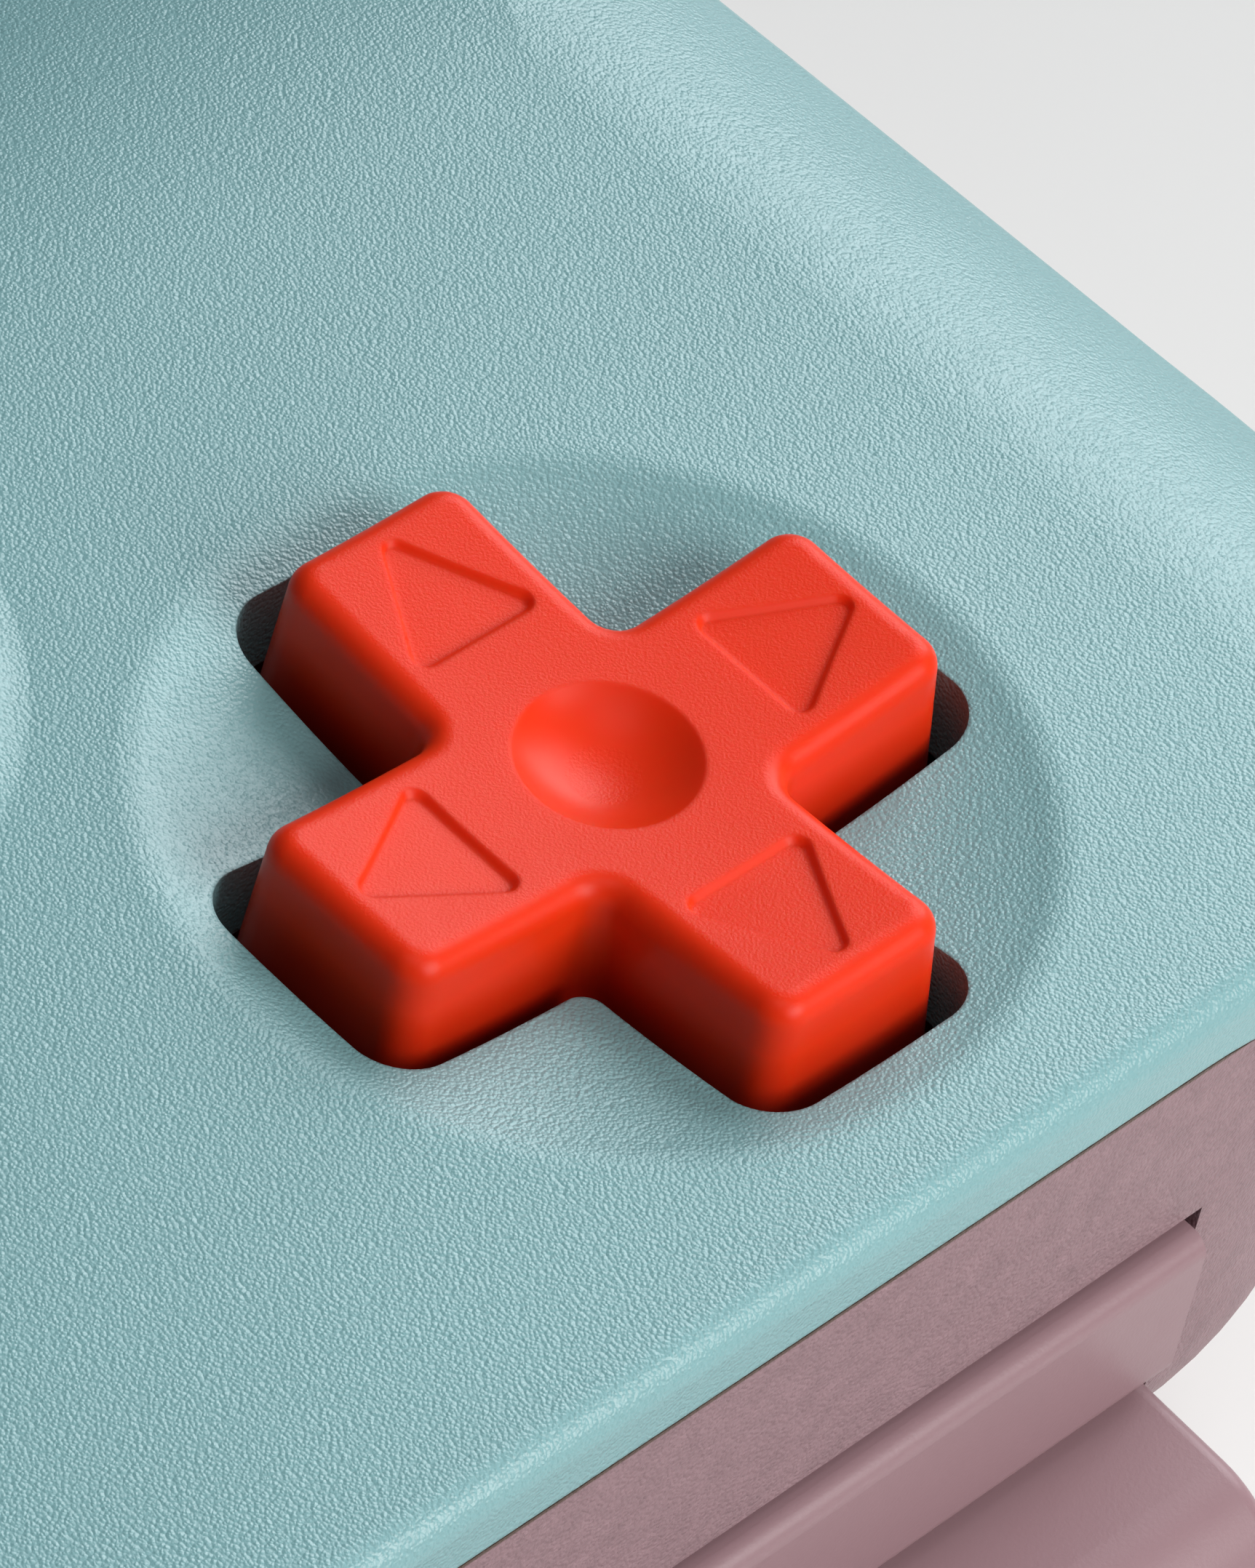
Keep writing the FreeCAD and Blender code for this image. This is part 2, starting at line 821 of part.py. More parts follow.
def status_light_pipe():
    """Four light guides joined by a bar under the face."""
    top = face_z - face_drop(light_y) - light_sunk
    bar_top = ceiling_z - face_drop(light_y) - light_bar_gap
    bar_low = bar_top - light_bar_height
    half_length = light_pitch * (light_count - 1) / 2 + light_bar_margin
    half_depth = light_bar_width / 2
    bar = box(-half_length, half_length, light_y - half_depth, light_y + half_depth, bar_low, bar_top)
    guides = [post(x, y, bar_top - fuse_overlap, top, light_radius) for x, y in light_spots()]
    foot_x = half_length - light_foot_radius - fuse_overlap
    feet = [post(x, light_y, board_top_z + light_foot_gap, bar_low + fuse_overlap, light_foot_radius)
            for x in (-foot_x, foot_x)]
    return fused([bar] + guides + feet)


# Thumb stick, drawn about its own pivot and then placed

def stick_dome_and_cap():
    top = stick_cap_top_z - stick_pivot_z
    low = top - stick_cap_height
    outer = stick_dome_radius
    inner = outer - stick_dome_wall
    edge_angle = math.radians(90 - stick_dome_angle)
    floor_z = outer * math.sin(edge_angle)
    dome = ball(0, 0, 0, outer).cut(ball(0, 0, 0, inner))
    dome = dome.common(post(0, 0, floor_z, outer + 1, outer + 1))
    neck = post(0, 0, neck_seat_z(), low + fuse_overlap, stick_neck_radius)
    cap = post(0, 0, low, top, stick_cap_radius)
    hollow_z = top - stick_cap_hollow_depth + stick_cap_hollow_radius
    cap = cap.cut(ball(0, 0, hollow_z, stick_cap_hollow_radius))
    groove = low + stick_cap_lower_lip
    cap = cap.cut(tube(0, 0, groove, groove + stick_grip_height, stick_cap_radius + 1,
                       stick_cap_radius - stick_grip_width / 2))
    under = edges_where(cap, lambda edge: middle_of(edge).z < low + 1e-4)
    cap = cap.makeChamfer(stick_cap_low_bevel, under)
    over = edges_where(cap, lambda edge: abs(middle_of(edge).z - top) < 1e-3)
    cap = cap.makeChamfer(stick_cap_top_bevel, over)
    return fused([dome, neck, cap])


def neck_seat_z():
    """Where the shaft ends inside the dome and the neck above it begins."""
    return stick_dome_radius - 1.5 * stick_dome_wall


def stick_grip_ring():
    low = stick_cap_top_z - stick_pivot_z - stick_cap_height + stick_cap_lower_lip
    ring = tube(0, 0, low, low + stick_grip_height, stick_cap_radius + stick_grip_proud,
                stick_cap_radius - stick_grip_width / 2)
    rims = edges_where(ring, lambda edge: len(edge.Vertexes) == 1 and edge.Curve.Radius > stick_cap_radius)
    return ring.makeChamfer(stick_grip_bevel, rims)


def stick_shaft():
    shaft = post(0, 0, -stick_shaft_radius, neck_seat_z(), stick_shaft_radius)
    reach = yoke_half - side_room
    trunnion = rod((0, -reach, 0), (0, 1, 0), 2 * reach, trunnion_radius)
    return fused([shaft, trunnion])


def stick_yoke():
    half = yoke_height / 2
    ring = box(-yoke_half, yoke_half, -yoke_half, yoke_half, -half, half)
    ring = ring.cut(box(-yoke_inner_x, yoke_inner_x, -yoke_inner_y, yoke_inner_y, -half - 1, half + 1))
    ring = ring.cut(rod((0, -yoke_half - 1, 0), (0, 1, 0), 2 * yoke_half + 2, trunnion_radius + pivot_clearance))
    stub = cradle_outer - yoke_half
    axle_right = rod((yoke_half - side_room, 0, 0), (1, 0, 0), stub, yoke_axle_radius)
    return fused([ring] + both_sides(axle_right))


def stick_cradle():
    half = cradle_height / 2
    ring = box(-cradle_outer, cradle_outer, -cradle_outer, cradle_outer, -half, half)
    ring = ring.cut(box(-cradle_inner_x, cradle_inner_x, -cradle_inner_y, cradle_inner_y, -half - 1, half + 1))
    return ring.cut(rod((-cradle_outer - 1, 0, 0), (1, 0, 0), 2 * cradle_outer + 2,
                        yoke_axle_radius + pivot_clearance))


def stick_housing():
    """Folded metal can on the board with a click switch in its floor."""
    low = -stick_pivot_above_board
    half = stick_can_width / 2
    can = box(-half, half, -half, half, low, low + stick_can_height)
    inner = half - stick_can_wall
    can = can.cut(box(-inner, inner, -inner, inner, low + stick_can_wall, low + stick_can_height + 1))
    switch_top = -cradle_height / 2 - click_travel - click_room
    half_switch = click_switch_width / 2
    switch = box(-half_switch, half_switch, -inner, -inner + click_switch_depth,
                 low + stick_can_wall - fuse_overlap, switch_top)
    return fused([can, switch])


def stick_sensors():
    """Two rotary sensors, one on each side of the can."""
    low = -stick_pivot_above_board
    half = stick_can_width / 2
    side = sensor_width / 2
    across = box(half, half + sensor_thickness, -side, side, low, low + sensor_height)
    along = box(-side, side, -half - sensor_thickness, -half, low, low + sensor_height)
    dial_z = low + sensor_height / 2
    dials = [
        rod((half + fuse_overlap, 0, dial_z), (1, 0, 0), sensor_thickness, sensor_dial_radius),
        rod((0, -half - fuse_overlap, dial_z), (0, -1, 0), sensor_thickness, sensor_dial_radius),
    ]
    return [fused([across, dials[0]]), fused([along, dials[1]])]


def placed_stick(shape, side):
    if isinstance(shape, list):
        shape = Part.makeCompound(shape)
    copy = shape.copy()
    if side < 0:
        copy = mirrored(copy)
    copy.translate(Vec(side * stick_x, stick_y, stick_pivot_z))
    return copy


# Front shell

def dish_cutter(x, y):
    return ball(x, y, dish_bottom_z + dish_sphere_radius, dish_sphere_radius)


def stick_collar(x, y):
    """A ring raised out of the face, with a hollow flank and a rounded crest."""
    foot = Vec(stick_collar_radius, 0, face_z)
    crest = Vec(stick_collar_crest_radius, 0, face_z + stick_collar_height)
    lean = Vec((foot.x + crest.x) / 2 - stick_collar_sag, 0, face_z + stick_collar_height * stick_collar_lean)
    inside = Vec(stick_opening_radius, 0, crest.z - 2 * stick_collar_roll)
    shoulder = Vec(stick_opening_radius + stick_collar_roll, 0, crest.z - stick_collar_shoulder * stick_collar_roll)
    edges = [
        Part.Arc(foot, lean, crest).toShape(),
        Part.Arc(crest, shoulder, inside).toShape(),
        Part.LineSegment(inside, Vec(stick_opening_radius, 0, ceiling_z)).toShape(),
        Part.LineSegment(Vec(stick_opening_radius, 0, ceiling_z), Vec(stick_collar_radius, 0, ceiling_z)).toShape(),
        Part.LineSegment(Vec(stick_collar_radius, 0, ceiling_z), foot).toShape(),
    ]
    ring = Part.Face(Part.Wire(edges)).revolve(Vec(0, 0, 0), Vec(0, 0, 1), 360)
    ring.translate(Vec(x, y, 0))
    return ring


def boss_spots():
    return [(side * x, y, split) for x, y, split in case_screws for side in (1, -1)]


def underside_at(x, y):
    """Height of the outer underside above the table at one place."""
    line = Part.LineSegment(Vec(x, y, -5), Vec(x, y, face_z)).toShape()
    return line.common(outer_shape).BoundBox.ZMin


def screw_seat(x, y):
    return underside_at(x, y) + case_screw_depth


def is_dish_rim(edge):
    middle = middle_of(edge)
    spread = math.hypot(abs(middle.x) - cluster_x, middle.y - pad_y)
    return abs(middle.z - face_z) < 1e-3 and abs(spread - dish_radius) < 1e-3


def seam_groove():
    """A fine step all round the front shell's lower edge, which shows as a dark line at the seam."""
    band = below_seam(seam_groove_height).cut(below_seam(-seam_groove_height))
    return outer_shape.cut(outer_form(seam_groove_depth)).common(band)


def front_shell():
    dishes = [dish_cutter(pad_x, pad_y), dish_cutter(cluster_x, pad_y)]
    top = outer_shape.cut(dishes)
    rims = edges_where(top, is_dish_rim)
    top = top.makeFillet(dish_rim_radius, rims)
    shell = top.cut([below_seam(), cavity_shape])
    shell = shell.cut(outer_form(tongue_wall).common(below_seam(tongue_height + tongue_clearance)))
    shell = shell.cut(seam_groove())
    clear_of_tongue = plan_prism(-5, face_z + 5, -shell_wall - tongue_clearance)
    extras = []
    for x in (pad_x, cluster_x):
        backing = post(x, pad_y, backing_z, face_z, dish_backing_radius).common(clear_of_tongue)
        extras.append(backing.cut(dish_cutter(x, pad_y)))
    for side in (-1, 1):
        x = side * stick_x
        extras.append(stick_collar(x, stick_y))
        extras.append(tube(x, stick_y, ceiling_z - stick_skirt_depth, ceiling_z + fuse_overlap,
                           stick_skirt_radius, stick_opening_radius))
    for x, y, split in boss_spots():
        boss = post(x, y, split, face_z, case_boss_radius).common(clear_of_tongue)
        extras.append(boss.common(outer_form(shell_wall / 2)))
    shell = fused([shell] + extras)
    cuts = [pad_slot()]
    for x, y in face_button_spots().values():
        cuts.append(post(x, y, backing_z - 1, face_z + 1, button_radius + button_clearance))
    for name, (x, y) in small_button_spots().items():
        if name == "home":
            cuts.append(post(x, y, ceiling_z - 1, face_z + 1, home_button_radius + button_clearance))
        else:
            grow = 2 * button_clearance
            cuts.append(pill(x, y, ceiling_z - 1, face_z + 1, small_button_length + grow, small_button_width + grow))
    for x, y in light_spots():
        cuts.append(post(x, y, ceiling_z - 2, face_z + 1, light_radius + light_clearance))
    for side in (-1, 1):
        cuts.append(ball(side * stick_x, stick_y, stick_pivot_z, stick_dome_radius + stick_dome_gap))
        cuts.append(post(side * stick_x, stick_y, ceiling_z - 1, face_z + 5, stick_opening_radius))
    for x, y, split in boss_spots():
        cuts.append(post(x, y, split - 1, split + case_screw_bite + blind_room, case_screw_radius + lug_clearance))
    return shell.cut(cuts)


def pad_slot():
    face = cross_face(pad_length / 2 + pad_end_gap, pad_arm_width / 2 + pad_side_gap,
                      pad_slot_tip_corner, pad_slot_root_corner, backing_z - 1)
    slot = face.extrude(Vec(0, 0, face_z - backing_z + 3))
    slot.translate(Vec(pad_x, pad_y, 0))
    return slot


# Rear shell

def window_cutter():
    return box(window_x, window_end_x, window_y, top_edge_y + 10, -2, window_top_z)


def seam_tongue():
    """The thin wall that stands above the seam and slips inside the front shell."""
    inside = plan_prism(-5, face_z + 5, -shell_wall)
    tongue = outer_form(tongue_wall + tongue_clearance).cut([cavity_shape, inside])
    return tongue.common(below_seam(tongue_height)).cut(below_seam(-tongue_height))


def tray_ribs():
    """Ribs in the rear shell's floor that carry the battery tray clear of the rounded corners."""
    reach = battery_width / 2 - tray_rib_inset
    first = -tray_rib_pitch * (tray_rib_count - 1) / 2 - tray_rib / 2
    ribs = []
    for i in range(tray_rib_count):
        x = first + i * tray_rib_pitch
        ribs.append(box(x, x + tray_rib, battery_y - reach, battery_y + reach, shell_wall / 2, tray_floor_z))
    return ribs


def rear_shell():
    half = outer_shape.common(below_seam())
    shell = half.cut(cavity_shape)
    extras = [seam_tongue()]
    for x, y, split in boss_spots():
        boss = post(x, y, 0, split - boss_gap, case_boss_radius)
        extras.append(boss.common(half))
    for x, y in board_posts:
        for side in (-1, 1):
            stand = post(side * x, y, 0, board_bottom_z, board_post_radius)
            extras.append(stand.common(half))
    for side in (-1, 1):
        stand = post(side * bracket_screw_x, bracket_screw_y, 0, bracket_shelf_z, board_post_radius)
        extras.append(stand.common(half))
        for x in motor_rib_places():
            reach = motor_radius + motor_rib_reach
            rib = box(x, x + motor_rib, motor_y - reach, motor_y + reach, 0, motor_z)
            rib = rib if side > 0 else mirrored(rib)
            extras.append(rib.common(half))
    shell = fused([shell] + extras + tray_ribs())
    cuts = [socket_cutter(), pairing_cutter()]
    cuts += both_sides(window_cutter())
    for x, y, split in boss_spots():
        seat = screw_seat(x, y)
        cuts.append(post(x, y, -1, seat, case_screw_head_radius + case_screw_head_gap))
        cuts.append(post(x, y, seat - 1, split + 1, case_screw_radius + case_screw_hole_gap))
    for side in (-1, 1):
        for x, y in board_posts:
            cuts.append(post(side * x, y, long_board_screw_z - blind_room, board_bottom_z + 1,
                             board_screw_radius + lug_clearance))
        low = bracket_shelf_z + bracket_shelf - board_screw_length
        cuts.append(post(side * bracket_screw_x, bracket_screw_y, low - blind_room, bracket_shelf_z + 1,
                         board_screw_radius + lug_clearance))
        cuts.append(rod((side * (motor_x - 1), motor_y, motor_z), (side, 0, 0), motor_length + 2,
                        motor_radius + motor_clearance))
    return shell.cut(cuts)


def motor_rib_places():
    return (motor_x + motor_rib_inset, motor_x + motor_length - motor_rib_inset - motor_rib)


# Socket, pairing button

def socket_profile(grow, y):
    half_w = socket_width / 2 + grow
    half_h = socket_height / 2 + grow
    radius = half_h - 0.05
    return [
        ((-half_w, y, socket_z - half_h), radius),
        ((half_w, y, socket_z - half_h), radius),
        ((half_w, y, socket_z + half_h), radius),
        ((-half_w, y, socket_z + half_h), radius),
    ]


def usb_socket():
    front = top_edge_y - socket_inset
    back = front - socket_depth
    body = slab(socket_profile(0, back), (0, socket_depth, 0))
    body = body.cut(slab(socket_profile(-socket_wall, back + socket_back_wall), (0, socket_depth, 0)))
    half_tongue = socket_tongue_width / 2
    tongue = box(-half_tongue, half_tongue, back + socket_back_wall / 2, front - socket_tongue_inset,
                 socket_z - socket_tongue / 2, socket_z + socket_tongue / 2)
    return fused([body, tongue])


def socket_cutter():
    return slab(socket_profile(socket_cut_gap, top_edge_y - shell_wall - 2), (0, 10, 0))


def pairing_button():
    start = board_front_y + pairing_switch_reach + pairing_travel + button_contact_gap
    shaft = rod((pairing_x, start, pairing_z), (0, 1, 0), top_edge_y + pairing_proud - start, pairing_radius)
    flange_y = top_edge_y - shell_wall - button_seat_gap - pairing_flange
    flange = rod((pairing_x, flange_y, pairing_z), (0, 1, 0), pairing_flange, pairing_radius + pairing_overhang)
    return fused([shaft, flange])


def pairing_cutter():
    return rod((pairing_x, top_edge_y - shell_wall - 1, pairing_z), (0, 1, 0), 10,
               pairing_radius + pairing_clearance)


# Main board, shield, battery

def main_board():
    back, front = board_back_y, board_front_y
    half = board_half_width
    corners = [
        ((-half, back, board_bottom_z), board_corner),
        ((half, back, board_bottom_z), board_corner),
        ((half, front, board_bottom_z), board_corner),
        ((-half, front, board_bottom_z), board_corner),
    ]
    board = slab(corners, (0, 0, board_thickness))
    half_switch = pairing_switch_width / 2
    switch_front = front + pairing_switch_reach
    switch = box(pairing_x - half_switch, pairing_x + half_switch, switch_front - pairing_switch_depth, switch_front,
                 board_top_z - fuse_overlap, board_top_z + pairing_switch_height)
    half_plug = lead_socket_width / 2
    lead_socket = box(lead_end_x - half_plug, lead_end_x + half_plug, lead_y - half_plug, lead_y + half_plug,
                      board_bottom_z - lead_socket_height, board_bottom_z + fuse_overlap)
    half_tab = board_tab_width / 2
    tab = box(-half_tab, half_tab, front - 1, top_edge_y - socket_inset - socket_depth + board_tab_reach,
              board_bottom_z, board_top_z)
    chips = []
    for x, y, length, width in board_chips:
        chips.append(box(x - length / 2, x + length / 2, y - width / 2, y + width / 2,
                         board_bottom_z - chip_height, board_bottom_z + fuse_overlap))
    board = fused([board, switch, lead_socket, tab] + chips)
    cuts = []
    for x, y, split in boss_spots():
        if abs(x) < board_half_width:
            cuts.append(post(x, y, board_bottom_z - 1, board_top_z + 1, case_boss_radius + board_boss_gap))
    for x, y in board_posts:
        for side in (-1, 1):
            cuts.append(post(side * x, y, board_bottom_z - 1, board_top_z + 1,
                             board_screw_radius + board_screw_hole_gap))
    return board.cut(cuts)


def radio_shield():
    half_x, half_y = shield_length / 2, shield_width / 2
    can = box(shield_x - half_x, shield_x + half_x, shield_y - half_y, shield_y + half_y,
              board_bottom_z - shield_height, board_bottom_z)
    rims = edges_where(can, lambda edge: middle_of(edge).z < board_bottom_z - 1e-4)
    return can.makeChamfer(shield_edge_bevel, rims)


def battery_tray():
    low = tray_floor_z
    tray = box(-tray_half_x, tray_half_x, battery_y - tray_half_y, battery_y + tray_half_y, low, low + tray_height)
    inner_x = tray_half_x - tray_wall
    inner_y = tray_half_y - tray_wall
    tray = tray.cut(box(-inner_x, inner_x, battery_y - inner_y, battery_y + inner_y,
                        low + tray_floor, low + tray_height + 1))
    notch = lead_radius + lead_notch_gap
    return tray.cut(box(inner_x - 1, tray_half_x + 1, lead_y - notch, lead_y + notch,
                        lead_z - notch, low + tray_height + 1))


def battery_cell():
    low = tray_floor_z + tray_floor
    cell = box(-battery_length / 2, battery_length / 2, battery_y - battery_width / 2,
               battery_y + battery_width / 2, low, low + battery_height)
    long_edges = edges_where(cell, lambda edge: abs(edge.tangentAt(edge.FirstParameter).y) > 0.99)
    return cell.makeFillet(battery_end_radius, long_edges)


def battery_lead():
    """Short lead from the cell's end, up into the socket under the board."""
    start = Vec(lead_start_x, lead_y, lead_z)
    bend_start = Vec(lead_end_x - lead_bend_radius, lead_y, lead_z)
    bend_end = Vec(lead_end_x, lead_y, lead_z + lead_bend_radius)
    slant = lead_bend_radius * math.sqrt(0.5)
    bend_middle = Vec(lead_end_x - lead_bend_radius + slant, lead_y, lead_z + lead_bend_radius - slant)
    end = Vec(lead_end_x, lead_y, board_bottom_z - lead_socket_height)
    path = Part.Wire([
        Part.LineSegment(start, bend_start).toShape(),
        Part.Arc(bend_start, bend_middle, bend_end).toShape(),
        Part.LineSegment(bend_end, end).toShape(),
    ])
    section = Part.Wire([Part.makeCircle(lead_radius, start, Vec(1, 0, 0))])
    return path.makePipeShell([section], True, False)


# Rumble motors

def rumble_motor():
    can = rod((motor_x, motor_y, motor_z), (1, 0, 0), motor_length, motor_radius)
    rims = edges_where(can, lambda edge: len(edge.Vertexes) == 1)
    can = can.makeChamfer(motor_edge_bevel, rims)
    shaft = rod((motor_x + motor_length - fuse_overlap, motor_y, motor_z), (1, 0, 0),
                motor_shaft_length, motor_shaft_radius)
    return fused([can, shaft])


def rumble_weight():
    start = motor_x + motor_length + weight_gap
    disc = rod((start, motor_y, motor_z), (1, 0, 0), weight_length, weight_radius)
    lower_half = box(start - 1, start + weight_length + 1, motor_y - weight_radius, motor_y + weight_radius,
                     motor_z - weight_radius, motor_z)
    hub = rod((start, motor_y, motor_z), (1, 0, 0), weight_length, motor_shaft_radius + weight_hub_wall)
    weight = fused([disc.common(lower_half), hub])
    return weight.cut(rod((start - 1, motor_y, motor_z), (1, 0, 0), weight_length + 2,
                          motor_shaft_radius + pivot_clearance))


# Bumper, trigger and their bracket

def bumper():
    outer = plan_prism(bumper_bottom_z, bumper_top_z, bumper_proud)
    inner = plan_prism(bumper_bottom_z - 1, bumper_top_z + 1, bumper_proud - bumper_depth)
    band = outer.cut(inner)
    band = band.common(box(window_x + side_gap, window_end_x - side_gap, 20, top_edge_y + 5, 0, face_z))
    outline = plan_face(bumper_proud).OuterWire

    def on_front(edge):
        middle = middle_of(edge)
        return outline.distToShape(Part.Vertex(middle.x, middle.y, 0))[0] < 1e-3

    front_edges = edges_where(band, lambda edge: on_front(edge) and abs(edge.tangentAt(edge.FirstParameter).z) < 0.5)
    band = band.makeFillet(bumper_edge_radius, front_edges)
    boss = post(bumper_pin_x, bumper_pin_y, bumper_bottom_z, bumper_top_z, bumper_boss_radius)
    shape = fused([band, boss])
    return shape.cut(post(bumper_pin_x, bumper_pin_y, 0, face_z, pin_radius + pin_clearance))


def trigger():
    start = window_x + side_gap
    corners = [((start, y, bumper_bottom_z - drop), radius) for y, drop, radius in trigger_profile]
    paddle = slab(corners, (window_end_x - side_gap - start, 0, 0))
    rim = edges_where(paddle, lambda edge: abs(edge.tangentAt(edge.FirstParameter).x) < 0.5
                      and middle_of(edge).y > trigger_back_y + 0.5)
    paddle = paddle.makeFillet(trigger_edge_radius, rim)
    pin = Vec(hub_start_x, trigger_pin_y, trigger_pin_z)
    hub_width = hub_end_x - hub_start_x
    hub = rod((pin.x, pin.y, pin.z), (1, 0, 0), hub_width, trigger_hub_radius)
    apron = rod((pin.x, pin.y, pin.z), (1, 0, 0), hub_width, trigger_apron_radius)
    front = box(pin.x - 1, pin.x + hub_width + 1, pin.y + trigger_apron_start, trigger_front_y,
                pin.z - trigger_apron_radius, pin.z + trigger_apron_top)
    guard = rod((pin.x, pin.y, pin.z), (1, 0, 0), hub_width, trigger_guard_radius)
    under = box(pin.x - 1, pin.x + hub_width + 1, pin.y - trigger_apron_radius, pin.y + trigger_apron_radius,
                pin.z - trigger_apron_radius, pin.z - trigger_guard_drop)
    shape = fused([paddle, hub, apron.common(front), guard.common(under)])
    shape = shape.cut(rod((spring_x - spring_room, pin.y, pin.z), (1, 0, 0), spring_length + 2 * spring_room,
                          spring_coil_radius + spring_room))
    return shape.cut(rod((pin.x - 1, pin.y, pin.z), (1, 0, 0), hub_width + 2, pin_radius + pin_clearance))


def trigger_pin():
    start = lug_in_x
    return rod((start, trigger_pin_y, trigger_pin_z), (1, 0, 0), lug_out_x + lug_thickness - start, pin_radius)


def bumper_pin():
    return post(bumper_pin_x, bumper_pin_y, bracket_shelf_z, bracket_top_z, pin_radius)


def trigger_spring():
    """Torsion spring round the pin, as the sleeve its turns fill."""
    coil = rod((spring_x, trigger_pin_y, trigger_pin_z), (1, 0, 0), spring_length, spring_coil_radius)
    return coil.cut(rod((spring_x - 1, trigger_pin_y, trigger_pin_z), (1, 0, 0), spring_length + 2,
                        spring_bore_radius))


def shoulder_bracket():
    x0, x1 = lug_in_x, lug_out_x + lug_thickness
    back0, back1 = bracket_back_y, bracket_back_y + bracket_back_wall
    shelf_top = bracket_shelf_z + bracket_shelf
    shelf = box(x0, x1, back0, bracket_front_y, bracket_shelf_z, shelf_top)
    tab = box(bracket_screw_x - bracket_tab_reach, x0 + fuse_overlap, bracket_screw_y - bracket_tab_reach,
              bracket_screw_y + bracket_tab_reach, bracket_shelf_z, shelf_top)
    wall = box(bracket_back_start_x, x1, back0, back1, bracket_shelf_z, bracket_top_z)
    plate = box(x0, x1, back0, bracket_front_y, bracket_top_z - bracket_top_plate, bracket_top_z)
    lugs = []
    for x in (lug_in_x, lug_out_x):
        lug = rod((x, trigger_pin_y, trigger_pin_z), (1, 0, 0), lug_thickness, trigger_hub_radius)
        stem = box(x, x + lug_thickness, trigger_pin_y - lug_stem_back, trigger_pin_y + trigger_hub_radius,
                   trigger_pin_z, bracket_shelf_z + fuse_overlap)
        lugs += [lug, stem]
    bracket = fused([shelf, tab, wall, plate] + lugs)
    cuts = [
        rod((x0 - 1, trigger_pin_y, trigger_pin_z), (1, 0, 0), x1 - x0 + 2, pin_radius + lug_clearance),
        post(bumper_pin_x, bumper_pin_y, bracket_shelf_z - 1, bracket_top_z + 1, pin_radius + lug_clearance),
        post(bracket_screw_x, bracket_screw_y, bracket_shelf_z - 1, shelf_top + 1,
             board_screw_radius + board_screw_hole_gap),
    ]
    return bracket.cut(cuts)


def shoulder_switch():
    """Small upright board on the bracket's back wall, with the bumper's switch."""
    face = bracket_back_y + bracket_back_wall
    half_board = shoulder_board_length / 2
    board = box(shoulder_switch_x - half_board, shoulder_switch_x + half_board, face, face + shoulder_board_thickness,
                bracket_shelf_z + bracket_shelf, bracket_top_z - bracket_top_plate)
    front = face + shoulder_board_thickness
    middle_z = (bumper_bottom_z + bumper_top_z) / 2
    half_body = shoulder_switch_size / 2
    body = box(shoulder_switch_x - half_body, shoulder_switch_x + half_body, front - fuse_overlap,
               front + shoulder_switch_reach / 2, middle_z - half_body, middle_z + half_body)
    knob = rod((shoulder_switch_x, front, middle_z), (0, 1, 0), shoulder_switch_reach, shoulder_knob_radius)
    return fused([board, body, knob])


# Screws

def screw(x, y, head_z, head_height, head_radius, shank_length, shank_radius, up):
    """A pan-head screw. Its head starts at head_z and its shank runs up or down from there."""
    head = post(x, y, head_z, head_z + head_height, head_radius)
    depth = head_height * recess_share
    if up:
        shank = post(x, y, head_z + head_height - fuse_overlap, head_z + head_height + shank_length, shank_radius)
        recess_low, recess_high = head_z - 1, head_z + depth
    else:
        shank = post(x, y, head_z - shank_length, head_z + fuse_overlap, shank_radius)
        recess_low, recess_high = head_z + head_height - depth, head_z + head_height + 1
    arm = head_radius * recess_arm_share
    half = recess_width / 2
    slot = fused([
        box(x - arm, x + arm, y - half, y + half, recess_low, recess_high),
        box(x - half, x + half, y - arm, y + arm, recess_low, recess_high),
    ])
    return fused([head, shank]).cut(slot)


def case_screw_group():
    screws = []
    for x, y, split in boss_spots():
        seat = screw_seat(x, y)
        screws.append(screw(x, y, seat - case_screw_head_height, case_screw_head_height, case_screw_head_radius,
                            split + case_screw_bite - seat, case_screw_radius, True))
    return Part.makeCompound(screws)


def board_screw_group():
    screws = []
    for x, y in board_posts:
        for side in (-1, 1):
            screws.append(screw(side * x, y, board_top_z, board_screw_head_height, board_screw_head_radius,
                                board_screw_length, board_screw_radius, False))
    return Part.makeCompound(screws)


def bracket_screw_group():
    top = bracket_shelf_z + bracket_shelf
    return Part.makeCompound([
        screw(side * bracket_screw_x, bracket_screw_y, top, board_screw_head_height, board_screw_head_radius,
              board_screw_length, board_screw_radius, False)
        for side in (-1, 1)
    ])


# Every node of the object

